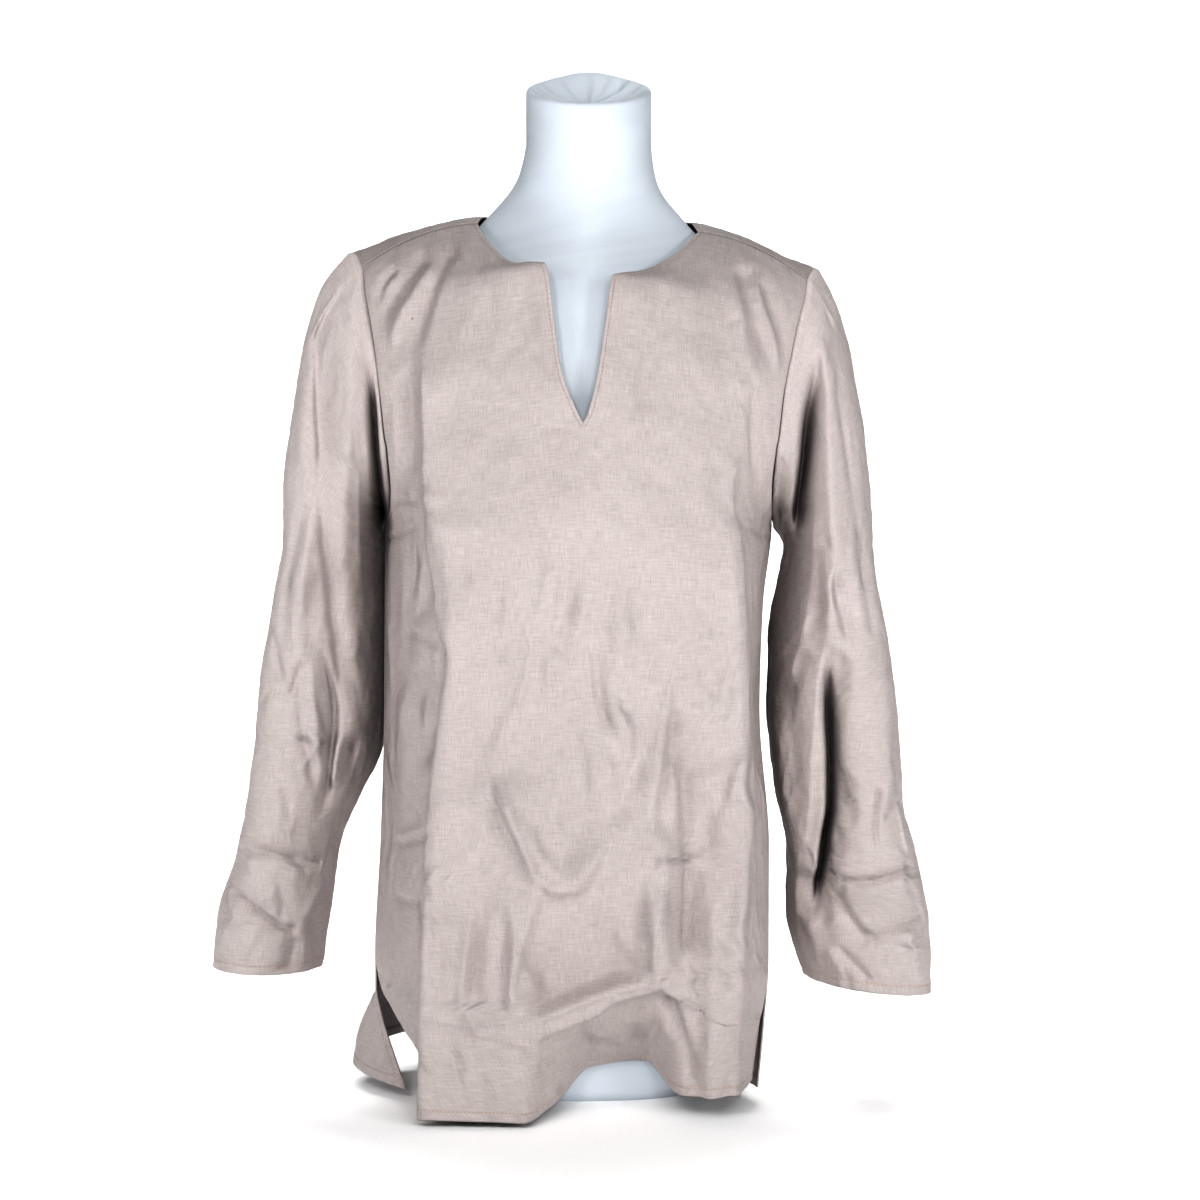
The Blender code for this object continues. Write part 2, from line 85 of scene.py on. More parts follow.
# The armhole's marks on the front and the back, and the sleeve's faces between them.
ARMHOLE_LEVELS = (
    (484, 513.667, 543.333, 573, 597.8, 622.6, 647.4, 672.2, 697, 709.75, 722.5, 735.25, 748),
    (484, 516.375, 548.75, 581.125, 613.5, 645.875, 678.25, 710.625, 743, 754.75, 766.5, 778.25, 790),
)
SLEEVE_STEPS = 8
SLEEVE_ROWS = 140
CAP_ROWS = 58
# The cuff's turned band, and the rows in it.
CUFF_BAND = 12
CUFF_ROWS = 8

# One row for each level of a panel, from the hem to the shoulder seam. "inner" is the level's
# point on the centre line, the notch or the neckline, "corner" the fold where the front or back
# turns to the side, and "outer" the side seam or the armhole, each for the left (l) and right (r)
# half. "soft" rounds the corner off, "rise" lifts the ends of the left half, whose shoulder sits
# higher, and "lift" arches the level between its ends.
PANEL_COLUMNS = (
    "level", "inner_l", "inner_r", "inner_y", "inner_z", "corner_l", "corner_r", "corner_y",
    "outer_l", "outer_r", "outer_y_l", "outer_y_r", "outer_z", "soft_l", "soft_r", "rise_in", "rise_out",
    "lift",
)
FRONT = (
    (0, 0, 0, -128, 4, 131, 121, -125, 177, 142, 0, -34, 9, 3, 3, 0, 0, 0),
    (60, 0, 0, -127, 64, 130, 123, -123, 177, 149, 0, -28, 66, 3, 3, 0, 0, 0),
    (115, 0, 0, -125, 118, 128, 127, -120, 178, 156, 0, -20, 118, 3, 3, 0, 0, 0),
    (215, 0, 0, -120, 217, 122, 132, -114, 173, 156, 0, -20, 215, 3, 3, 0, 0, 0),
    (330, 0, 0, -114, 331, 110, 130, -108, 169, 148, 0, -10, 329, 3, 4, 0, 0, 0),
    (420, 0, 0, -119, 421, 107, 127, -112, 168, 151, 0, 0, 418, 3, 5, 0, 0, 0),
    (484, 0, 0, -123, 487, 114, 122, -112, 167, 158, 0, 0, 484, 3, 8, 0, 0, 0),
    (505, 0, 0, -122, 509, 117, 120, -108, 161, 156, -32, -32, 499, 4, 12, 0, 0, 0),
    (530, 0, 0, -120, 533, 119, 118, -103, 159, 155, -53, -53, 519, 8, 18, 0, 0, 0),
    (573, 0, 0, -115, 573, 121, 118, -97, 161, 158, -66, -66, 553, 14, 20, 0, 0, 0),
    (578, 3, 3, -114, 578, 121, 118, -96, 162, 159, -66, -66, 557, 14, 20, 0, 0, 0),
    (620, 18, 12, -106, 616, 122, 118, -90, 166, 163, -67, -67, 593, 18, 20, 2, 2, 0),
    (660, 24, 18, -96, 656, 122, 118, -80, 171, 170, -59, -59, 629, 20, 20, 5, 5, 1),
    (697, 31, 24, -85, 691, 120, 118, -67, 177, 177, -49, -49, 659, 18, 18, 9, 9, 2),
    (700, 38, 31, -82, 692, 120, 118, -65.5, 177.4, 177.6, -48, -48, 661, 17, 17, 8.4, 9, 2.4),
    (712, 57, 49, -70, 695, 122, 120, -60, 179, 180, -44, -44, 668, 14, 14, 6, 10, 4),
    (726, 70, 67, -53, 704, 126, 124, -50, 180, 182, -40, -40, 675, 10, 10, 6, 11, 6),
    (738, 81, 84, -33, 716, 131, 132, -38, 181, 183, -36, -36, 682, 10, 10, 6, 11, 7),
    (748, 88, 95, -12, 728, 135, 138, -24, 182, 184, -32, -32, 688, 10, 10, 7, 11, 8),
)
BACK = (
    (0, 0, 0, 112, 7, 146, 128, 92, 178, 147, 0, -34, 13, 20, 20, 0, 0, 0),
    (60, 0, 0, 112, 62, 142, 132, 92, 178, 152, 0, -28, 66, 20, 20, 0, 0, 0),
    (115, 0, 0, 110, 116, 136, 132, 90, 178, 156, 0, -20, 118, 20, 20, 0, 0, 0),
    (215, 0, 0, 103, 215, 124, 128, 86, 173, 156, 0, -20, 215, 20, 20, 0, 0, 0),
    (330, 0, 0, 90, 329, 112, 108, 78, 169, 148, 0, -10, 329, 20, 20, 0, 0, 0),
    (420, 0, 0, 92, 420, 108, 100, 81, 168, 151, 0, 0, 418, 20, 20, 0, 0, 0),
    (484, 0, 0, 96, 487, 108, 102, 86, 167, 158, 0, 0, 484, 22, 22, 0, 0, 0),
    (505, 0, 0, 97, 509, 108, 104, 88, 160, 155, 34, 34, 499, 22, 22, 0, 0, 0),
    (530, 0, 0, 98, 533, 108, 106, 88, 154, 151, 54, 54, 519, 20, 20, 0, 0, 0),
    (570, 0, 0, 98, 572, 110, 108, 88, 153, 151, 66, 66, 553, 20, 20, 0, 0, 0),
    (620, 0, 0, 94, 622, 112, 110, 83, 160, 158, 62, 62, 600, 20, 20, 0, 2, 0),
    (660, 0, 0, 88, 662, 114, 112, 73, 170, 168, 49, 49, 643, 18, 18, 0, 4, 0),
    (700, 0, 0, 78, 701, 114, 112, 58, 182, 181, 29, 29, 678, 16, 16, 0, 7, 1),
    (722, 0, 0, 70, 721, 112, 110, 48, 189, 188, 14, 14, 692, 14, 14, 0, 11, 2),
    (743, 0, 0, 62, 736, 104, 102, 38, 192, 192, 0, 0, 699, 12, 12, 0, 13, 4),
    (746, 18, 18, 61, 737, 107, 106, 35, 192, 192, -2, -2, 699, 12, 12, 0.2, 13, 4.4),
    (756, 42, 42, 54, 738, 116, 116, 25, 191, 191, -9, -9, 698, 10, 10, 1, 13, 6),
    (768, 68, 68, 36, 738, 126, 127, 11, 188, 189, -17, -17, 696, 10, 10, 3, 13, 8),
    (780, 84, 88, 13, 735, 133, 134, -6, 185, 186, -25, -25, 692, 10, 10, 6, 12, 8),
    (790, 88, 95, -12, 728, 135, 138, -24, 182, 184, -32, -32, 688, 10, 10, 7, 11, 8),
)

# One row for each ring of a sleeve, from the cuff to the underarm: its height at the body side
# and at the outer side, its two edges across, its front and back, and how far its front leans
# out and its back in.
SLEEVE_COLUMNS = ("inner_z", "outer_z", "inner", "outer", "front", "back", "lean")
LEFT_SLEEVE = (
    (107, 112, 224, 313, -46, 30, 0),
    (157, 161, 216, 307, -50, 34, 0),
    (209, 212, 209, 291, -52, 38, 4),
    (260, 262, 189, 279, -54, 42, 8),
    (294, 296, 174, 272, -56, 46, 13),
    (345, 347, 169, 265, -58, 50, 15),
    (413, 414, 168, 257, -58, 52, 15),
    (462, 466, 168, 249, -60, 55, 10),
)
RIGHT_SLEEVE = (
    (100, 90, 187, 293, -46, 30, 0),
    (157, 150, 172, 291, -50, 34, 0),
    (209, 204, 172, 280, -54, 38, 0),
    (260, 257, 162, 268, -56, 42, 0),
    (294, 292, 158, 266, -58, 46, 0),
    (345, 345, 155, 261, -58, 50, 0),
    (396, 396, 157, 253, -58, 52, 0),
    (430, 431, 163, 247, -59, 54, 0),
    (462, 466, 169, 241, -60, 55, 0),
)
# How full each sleeve's cap is: how far it leaves the armhole before it turns down.
LEFT_CAP = 0.80
RIGHT_CAP = 0.54
# How straight up a sleeve leaves its last ring, and how steeply it comes up into the armhole.
CAP_LEAVES = 0.8
CAP_ARRIVES = 0.55

# How many times deeper than their tables the front's and the back's folds and swells are. The
# sleeves' are just as deep as their tables say.
FOLD_DEPTH = 2.7
SWELL_DEPTH = 1.5
# How far back the side of a sleeve that faces the body sits.
TUCK_DEPTH = 24
# How far the painted shade reaches from cloth to cloth: the sleeves lie in the body's shade.
BODY_SHADE = 28
SLEEVE_SHADE = 60
# Worn linen is uneven in four sizes, each a width and a height: broad swells, two sizes of
# sharp-edged crease, and a fine tooth.
SWELL_WIDTH, SWELL_HEIGHT = 46, 1.6
RIDGE_WIDTH, RIDGE_HEIGHT = 19, 1.1
SMALL_WIDTH, SMALL_HEIGHT = 11, 0.7
TOOTH_WIDTH, TOOTH_HEIGHT = 6, 0.25
# The hem's small folds take it up in full this far below the pressed crease.
HEM_RISE_REACH = 25
# How far from a side seam, a shoulder seam and a sleeve's head its cloth begins to lie unevenly.
SIDE_CALM = 16
SHOULDER_CALM = 10
HEAD_CALM = 24
HEAD_FOLD_CALM = 9
# A side seam's edge rolls in by this much, over this width.
SEAM_ROLL = 0.7
SEAM_ROLL_WIDTH = 4
# A sleeve's head stands up beside its seam by this much, and its own edge rolls in.
HEAD_RIDGE = 1.1
HEAD_ROLL = 0.5

# The folds: how far each stands out (+) or in (-), how far it spreads to the left and to the right
# of its line when seen going along it, how crisp its edge is, the share of its length over which it
# rises and dies away, and the points of its line. The swells are the broad ones. All points are
# across and up, except that a sleeve's swells have degrees round it for across, from the side that
# faces the body, through the front. A sleeve's folds stand straight out to the front.
FRONT_SWELLS = (
    (4, 24, 24, 0, 0.3, 0.3, ((30, 440), (20, 250), (60, 110))),
    (4, 20, 20, 0, 0.3, 0.2, ((-70, 330), (-52, 200), (-66, 20))),
    # The belly of cloth left of the middle and the hollow below it.
    (7, 5, 32, 0.5, 0.2, 0.3, (
        (-75, 296), (-65, 266), (-49, 234), (-36, 208), (-22, 196), (-7, 196), (5, 206), (15, 229),
        (21, 254),
    )),
    (-13, 8, 48, 0.1, 0.25, 0.25, ((-50, 100), (-26, 108), (8, 123), (34, 132), (62, 136))),
    (6, 26, 4, 0.5, 0.3, 0.05, ((64, 359), (65, 319), (66, 270), (66, 221), (66, 172), (68, 125))),
    (-9, 5, 26, 0.2, 0.3, 0.1, ((74, 351), (80, 302), (83, 246), (83, 189), (81, 138))),
    (-6, 3, 9, 0.4, 0.5, 0.15, ((-83, 215), (-86, 172), (-90, 136), (-95, 99))),
    (-6, 8, 3, 0.4, 0.5, 0.15, ((-65, 205), (-62, 164), (-63, 123), (-62, 89))),
    (-3, 7, 7, 0, 0.3, 0.2, ((-13, 483), (-14, 451), (-15, 423), (-19, 387))),
    (-3, 3, 5, 0.4, 0.3, 0.3, ((1, 401), (9, 383), (13, 355), (21, 320))),
    (4, 7, 2.5, 0.6, 0.1, 0.1, ((58, 221), (71, 216), (99, 221))),
)
BACK_SWELLS = (
    (9, 34, 34, 0, 0.3, 0.1, ((-60, 560), (-75, 330), (-70, 0))),
    (9, 34, 34, 0, 0.3, 0.1, ((70, 540), (62, 330), (76, 0))),
    (-7, 30, 30, 0, 0.3, 0.1, ((0, 420), (5, 250), (0, 0))),
)
LEFT_SWELLS = (
    (3, 22, 22, 0, 0.3, 0.3, ((150, 440), (150, 330), (160, 210))),
    (7, 30, 30, 0, 0.3, 0.3, ((250, 480), (240, 330), (250, 200))),
    (-2.8, 8, 8, 0.1, 0.3, 0.3, ((215, 560), (222, 470), (214, 380), (220, 300))),
    (-2.4, 7, 7, 0.2, 0.3, 0.3, ((282, 500), (290, 420), (282, 340), (286, 260))),
    (-3.0, 3, 5, 0.5, 0.1, 0.2, ((185, 214), (210, 206), (250, 214), (290, 204))),
    (-3.0, 3, 5, 0.5, 0.1, 0.2, ((185, 178), (205, 162), (240, 172), (280, 158))),
    (-3.5, 6, 6, 0.3, 0.3, 0.3, ((196, 420), (204, 350), (198, 280))),
    (4, 7, 9, 0.2, 0.3, 0.3, ((262, 560), (256, 450), (264, 360))),
)
RIGHT_SWELLS = (
    (3, 22, 22, 0, 0.3, 0.3, ((140, 460), (135, 330), (130, 220))),
    (7, 30, 30, 0, 0.3, 0.3, ((250, 480), (240, 330), (250, 200))),
    (-2.8, 8, 8, 0.1, 0.3, 0.3, ((212, 560), (220, 470), (216, 380), (222, 300))),
    (-2.4, 7, 7, 0.2, 0.3, 0.3, ((286, 500), (292, 420), (284, 340), (290, 260))),
    (-3.0, 3, 5, 0.5, 0, 0.2, ((186, 152), (206, 166), (242, 156), (280, 170))),
    (-2.8, 3, 5, 0.5, 0.1, 0.2, ((184, 204), (214, 212), (250, 202), (282, 210))),
    (-3.5, 6, 6, 0.3, 0.3, 0.3, ((200, 440), (194, 360), (202, 270))),
    (4, 7, 9, 0.2, 0.3, 0.3, ((258, 550), (266, 440), (256, 350))),
)
FRONT_FOLDS = (
    # Left chest, running down from the shoulder.
    (-2.1, 7, 9, 0.2, 0.12, 0.4, ((-103, 718), (-123, 683), (-133, 650), (-146, 622))),
    (-1.8, 6, 8, 0.2, 0.12, 0.4, ((-127, 712), (-149, 684), (-166, 655), (-171, 640))),
    (-1.6, 3, 3, 0.3, 0.12, 0.3, ((-153, 699), (-165, 683), (-171, 660))),
    (1.4, 5, 5, 0.2, 0.2, 0.3, ((-117, 706), (-137, 676), (-151, 650), (-158, 620))),
    (1.0, 6, 6, 0.2, 0.2, 0.3, ((-92, 716), (-112, 688), (-122, 655), (-128, 620))),
    (2.4, 6, 12, 0.5, 0.3, 0.1, ((-129, 640), (-127, 590), (-125, 540), (-124, 500))),
    (-2.4, 7, 7, 0.2, 0.3, 0.3, ((-143, 625), (-142, 570), (-143, 510))),
    (1.2, 7, 7, 0, 0.3, 0.3, ((-155, 600), (-154, 560), (-155, 520))),
    (-1.0, 6, 6, 0, 0.3, 0.3, ((-55, 699), (-48, 671), (-41, 645), (-23, 603))),
    (-0.6, 4, 4, 0, 0.3, 0.3, ((-84, 709), (-83, 676))),
    (-0.5, 3, 3, 0.5, 0.3, 0.3, ((-37, 568), (-9, 568))),
    (-1.2, 2, 3, 0.6, 0.2, 0.3, ((-163, 506), (-148, 507), (-128, 508))),
    # Right chest.
    (-1.7, 7, 8, 0.2, 0.12, 0.4, ((130, 702), (132, 683), (139, 656), (150, 628), (159, 612))),
    (-1.5, 6, 6, 0.2, 0.12, 0.4, ((145, 690), (154, 663), (163, 640), (166, 590))),
    (1.3, 4, 4, 0.1, 0.2, 0.3, ((138, 694), (146, 662), (155, 634), (162, 600))),
    (1.3, 9, 6, 0.1, 0.3, 0.3, ((122, 694), (127, 660), (132, 630), (143, 595))),
    (-1.3, 8, 8, 0, 0.2, 0.3, ((66, 693), (62, 655), (54, 631), (46, 566))),
    (-0.6, 2, 2, 0.5, 0.3, 0.3, ((110, 651), (130, 656))),
    (-0.5, 2, 2, 0.5, 0.3, 0.3, ((125, 590), (135, 582))),
    (-0.9, 3, 5, 0.5, 0.3, 0.3, ((138, 612), (136, 566), (138, 534), (143, 515))),
    (1.4, 8, 5, 0.3, 0.3, 0.3, ((126, 548), (118, 520), (119, 495))),
    (0.9, 10, 10, 0, 0.4, 0.4, ((104, 540), (98, 515), (96, 490))),
    # The crisp edges where the front turns to the sides.
    (1.6, 4, 12, 0.7, 0.06, 0, (
        (-124, 520), (-122, 475), (-117, 431), (-112, 400), (-106, 385), (-110, 356), (-115, 318),
        (-122, 260), (-126, 190), (-129, 122), (-130, 73), (-131, 4),
    )),
    (1.2, 10, 4, 0.6, 0.06, 0, (
        (117, 512), (124, 485), (128, 431), (129, 390), (132, 334), (136, 269), (134, 240),
        (131, 200), (127, 147), (125, 90), (124, 4),
    )),
    # The middle, left.
    (-1.6, 2, 2, 0.8, 0.2, 0.2, ((-25, 397), (-19, 384))),
    (1.8, 5, 4, 0.3, 0.3, 0.3, ((-37, 404), (-45, 374), (-51, 350), (-61, 330), (-68, 308), (-71, 285))),
    (-0.9, 2.5, 2.5, 0.3, 0.3, 0.3, ((-53, 350), (-60, 330), (-66, 308))),
    (-1.2, 9, 9, 0, 0.3, 0.3, ((-91, 370), (-89, 334), (-91, 300), (-93, 262))),
    (-1.9, 4, 9, 0.4, 0.35, 0.3, ((-77, 302), (-72, 270), (-58, 238), (-44, 206))),
    (-0.9, 3, 5, 0.5, 0.3, 0.3, ((1, 382), (9, 366), (14, 345), (23, 316))),
    (0.8, 10, 10, 0, 0.4, 0.4, ((-100, 470), (-98, 420), (-88, 380))),
    # The middle, right.
    (-1.0, 4, 4, 0, 0.3, 0.3, ((91, 400), (96, 370), (100, 350), (100, 336))),
    (-3.0, 5, 5, 0.3, 0.15, 0.25, ((76, 342), (70, 318), (67, 293), (64, 265), (64, 226))),
    (2.2, 6, 4, 0.3, 0.3, 0.25, ((74, 380), (68, 350), (64, 322), (59, 285), (52, 250))),
    (1.2, 5, 6, 0.1, 0.3, 0.3, ((80, 335), (77, 300), (75, 262), (78, 230))),
    (0.8, 4, 4, 0, 0.4, 0.4, ((58, 384), (51, 355))),
    (-1.7, 9, 9, 0, 0.3, 0.3, ((46, 312), (36, 280), (21, 243))),
    (-1.1, 4, 4, 0.2, 0.3, 0.3, ((118, 296), (113, 274), (108, 250))),
    (1.0, 3, 3, 0.2, 0.3, 0.3, ((123, 290), (119, 262))),
    (-0.9, 2.5, 2.5, 0.4, 0.2, 0.3, ((66, 219), (84, 219), (97, 227))),
    (-1.6, 4, 4, 0.2, 0.3, 0.3, ((104, 263), (100, 243), (105, 228), (112, 234))),
    # The lower half: the long fold left of the middle and the hollow right of it.
    (2.2, 9, 3.5, 0.5, 0.2, 0.1, (
        (-68, 290), (-61, 268), (-50, 236), (-40, 210), (-38, 195), (-43, 170), (-51, 146), (-58, 117),
        (-62, 90),
    )),
    (1.2, 3.5, 4, 0.3, 0.2, 0.2, ((-46, 250), (-35, 229), (-24, 213), (-16, 203))),
    (1.6, 9, 12, 0.2, 0.25, 0.25, ((-28, 214), (-10, 205), (8, 217), (22, 236))),
    (-1.6, 5, 5, 0.2, 0.3, 0.3, ((21, 238), (13, 216), (3, 202), (-9, 186))),
    (1.3, 5, 5, 0.1, 0.3, 0.3, ((27, 234), (19, 206), (15, 180), (13, 143))),
    (-1.2, 9, 9, 0, 0.3, 0.3, ((48, 215), (42, 180), (40, 148))),
    (1.9, 5, 4, 0.3, 0.3, 0.2, ((-84, 196), (-92, 156), (-96, 128), (-100, 88))),
    (-1.6, 7, 7, 0, 0.3, 0.3, ((-117, 215), (-119, 160), (-119, 98))),
    (-1.8, 8, 8, 0.2, 0.4, 0.2, ((93, 222), (88, 190), (86, 155), (83, 112))),
    (2.6, 7, 12, 0.1, 0.25, 0.05, ((101, 222), (105, 180), (105, 139), (104, 100), (104, 50), (104, 4))),
    (-0.8, 2, 2, 0.4, 0.3, 0.3, ((142, 254), (145, 208), (142, 160))),
    # The pressed creases above the hem.
    (1.3, 3, 3, 0.6, 0.1, 0.1, ((-130, 88), (-112, 82), (-92, 80), (-76, 84), (-60, 83))),
    (-1.3, 2.5, 2.5, 0.4, 0.2, 0.2, ((-96, 74), (-68, 70), (-46, 67))),
    (-1.0, 2, 2, 0.5, 0.2, 0.2, ((-70, 47), (-55, 62), (-46, 76))),
    (-1.0, 2, 2, 0.5, 0.3, 0.3, ((-44, 74), (-42, 58), (-46, 46))),
    (1.8, 3, 3, 0.6, 0.1, 0.05, ((-58, 85), (-31, 95), (5, 109), (30, 117), (64, 122))),
    (1.8, 3, 3, 0.6, 0.1, 0.05, ((-46, 74), (-19, 84), (9, 96), (24, 107), (46, 112), (64, 118))),
    (1.7, 2.5, 2.5, 0.6, 0.15, 0.2, ((64, 119), (74, 110), (86, 102), (96, 97))),
    (-2.6, 6, 4, 0.3, 0.1, 0.1, ((67, 111), (77, 83), (86, 57), (92, 30))),
    (1.1, 4, 4, 0.1, 0.2, 0.2, ((61, 108), (64, 81), (57, 52))),
    (1.1, 3, 3, 0.2, 0.3, 0.3, ((68, 95), (71, 66))),
    (1.0, 4, 4, 0.1, 0.3, 0.2, ((38, 98), (34, 80), (30, 56))),
    (-1.0, 4, 4, 0.1, 0.3, 0.2, ((48, 102), (45, 80), (42, 58))),
    (-1.4, 4, 4, 0.2, 0.2, 0, ((125, 112), (123, 73), (119, 40), (118, 4))),
    # Side panels: the darts and short creases.
    (-1.0, 1.2, 1.2, 0.5, 0, 0.3, ((-168, 470), (-150, 480), (-131, 491))),
    (-1.0, 1.2, 1.2, 0.5, 0, 0.3, ((160, 470), (145, 480), (128, 490))),
    (-1.4, 3, 3, 0.4, 0.2, 0.1, ((-152, 402), (-130, 396), (-108, 387))),
    (-1.2, 2, 2, 0.5, 0.1, 0.2, ((-160, 220), (-142, 229), (-120, 239))),
    (1.0, 3, 3, 0.3, 0.3, 0.3, ((-158, 228), (-142, 236), (-124, 245))),
    (-1.0, 3, 3, 0.3, 0.3, 0.3, ((-160, 182), (-146, 180), (-130, 186))),
    (1.5, 8, 8, 0, 0.3, 0.3, ((-146, 370), (-144, 300), (-148, 240))),
    (-1.2, 8, 8, 0, 0.3, 0.3, ((148, 400), (144, 330), (150, 260))),
)
BACK_FOLDS = (
    (-2.2, 6, 7, 0.3, 0.2, 0.3, ((-118, 712), (-124, 670), (-112, 620), (-104, 560))),
    (-1.8, 5, 6, 0.3, 0.2, 0.3, ((-150, 705), (-150, 660), (-138, 610))),
    (-2.2, 6, 6, 0.3, 0.2, 0.3, ((120, 712), (126, 668), (118, 620), (106, 566))),
    (-1.7, 5, 5, 0.3, 0.2, 0.3, ((152, 704), (151, 655), (140, 612))),
    (1.6, 8, 8, 0, 0.3, 0.3, ((-96, 700), (-98, 640), (-84, 560))),
    (1.6, 8, 8, 0, 0.3, 0.3, ((98, 700), (99, 640), (88, 570))),
    (-1.4, 12, 12, 0, 0.3, 0.3, ((-20, 690), (-6, 640), (10, 580))),
    (-1.0, 3, 4, 0.4, 0.3, 0.3, ((-60, 600), (-40, 560), (-34, 520))),
    (-2.4, 6, 6, 0.3, 0.3, 0.25, ((-38, 470), (-32, 400), (-38, 320), (-30, 250))),
    (2.2, 6, 5, 0.3, 0.3, 0.25, ((-50, 460), (-46, 390), (-52, 310), (-46, 240))),
    (-2.8, 6, 6, 0.3, 0.25, 0.2, ((34, 440), (30, 370), (37, 300), (26, 220), (30, 160))),
    (2.4, 5, 6, 0.3, 0.3, 0.2, ((46, 430), (43, 360), (50, 290), (40, 200))),
    (-1.8, 7, 7, 0.1, 0.3, 0.3, ((-92, 430), (-98, 360), (-94, 290))),
    (-1.8, 7, 7, 0.1, 0.3, 0.3, ((94, 420), (92, 350), (98, 280), (96, 220))),
    (-1.2, 3, 3, 0.5, 0.3, 0.3, ((-60, 392), (-30, 386), (-6, 394))),
    (-1.2, 3, 3, 0.5, 0.3, 0.3, ((10, 352), (36, 346), (64, 356))),
    (-1.0, 3, 3, 0.5, 0.3, 0.3, ((56, 262), (80, 268), (104, 262))),
    (-2.4, 7, 6, 0.2, 0.3, 0.05, ((-24, 220), (-20, 150), (-28, 80), (-26, 4))),
    (2.0, 6, 6, 0.2, 0.3, 0.05, ((-8, 210), (-4, 140), (-10, 70), (-8, 4))),
    (-2.4, 6, 7, 0.2, 0.3, 0.05, ((30, 200), (36, 130), (30, 60), (34, 4))),
    (1.8, 6, 6, 0.2, 0.3, 0.05, ((110, 230), (114, 160), (108, 80), (110, 4))),
    (-1.8, 6, 6, 0.2, 0.3, 0.05, ((-114, 240), (-108, 170), (-112, 90), (-108, 4))),
    (1.2, 3, 3, 0.6, 0.1, 0.1, (
        (-140, 92), (-100, 84), (-60, 86), (-10, 82), (40, 84), (90, 80), (126, 84),
    )),
    (-1.0, 2.5, 2.5, 0.4, 0.2, 0.2, ((-110, 76), (-70, 78), (-20, 74), (20, 76))),
)
LEFT_FOLDS = (
    (7, 12, 9, 0.3, 0.15, 0.2, (
        (-181, 700), (-186, 671), (-188, 630), (-190, 590), (-192, 549), (-195, 508), (-196, 466),
        (-194, 425), (-193, 384), (-193, 351),
    )),
    (-8, 3, 15, 0.2, 0.15, 0.2, (
        (-207, 706), (-214, 680), (-220, 643), (-219, 614), (-218, 581), (-216, 549), (-216, 516),
    )),
    (3, 6, 5, 0, 0.3, 0.3, ((-229, 614), (-230, 573), (-230, 524))),
    (-9, 2.5, 9, 0.4, 0.3, 0.3, (
        (-217, 517), (-215, 499), (-214, 475), (-211, 442), (-209, 413), (-206, 384), (-203, 351),
        (-202, 332),
    )),
    (6, 6, 8, 0.3, 0.3, 0.3, ((-223, 508), (-226, 475), (-230, 442), (-232, 404))),
    (-5, 5, 5, 0, 0.3, 0.3, ((-227, 517), (-234, 483), (-241, 450), (-246, 417), (-250, 380))),
    (-5, 7, 2.5, 0.6, 0.15, 0.2, ((-260, 409), (-254, 384), (-248, 357))),
    (-5, 3, 5, 0.5, 0.3, 0.3, ((-234, 377), (-237, 361), (-243, 341))),
    (-3, 2, 2, 0.4, 0.2, 0.3, ((-272, 327), (-263, 342), (-255, 356))),
    (-3, 5, 5, 0, 0.3, 0.3, ((-258, 313), (-251, 291), (-247, 266), (-244, 234))),
    (-5, 4, 5, 0.1, 0.3, 0.3, ((-237, 351), (-232, 313), (-227, 284), (-222, 255))),
    (4, 5, 4, 0.1, 0.3, 0.3, ((-224, 392), (-224, 359), (-221, 326), (-219, 292), (-218, 263))),
    (-13, 4, 5, 0.3, 0.3, 0.2, (
        (-219, 392), (-212, 359), (-209, 330), (-211, 296), (-216, 263), (-220, 238),
    )),
    (9, 4, 5, 0.1, 0.2, 0.3, ((-199, 315), (-206, 299), (-209, 277), (-207, 259))),
    (-10, 5, 6, 0.1, 0.4, 0.4, ((-192, 315), (-194, 299), (-198, 282), (-197, 266))),
    (-6, 2, 5, 0.6, 0.05, 0.05, ((-287, 217), (-267, 215), (-248, 210), (-231, 204), (-221, 199))),
    (5, 18, 3, 0.2, 0.1, 0.1, ((-283, 210), (-267, 209), (-248, 204), (-224, 194))),
    (-8, 8, 6, 0, 0.3, 0.3, ((-284, 213), (-290, 197), (-295, 182))),
    (-9, 6, 2.5, 0.6, 0.05, 0.1, ((-299, 186), (-279, 172), (-261, 157), (-249, 149), (-238, 149))),
    (5, 12, 3, 0.6, 0.1, 0.1, ((-221, 199), (-223, 181), (-231, 163), (-238, 148))),
    (-5, 7, 7, 0.1, 0.2, 0.1, ((-238, 143), (-246, 129), (-250, 109))),
    (-24, 3.5, 2.5, 0.3, 0.4, 0.1, (
        (-176, 637), (-173, 614), (-171, 590), (-170, 561), (-169, 532), (-169, 504), (-169, 479),
    )),
)
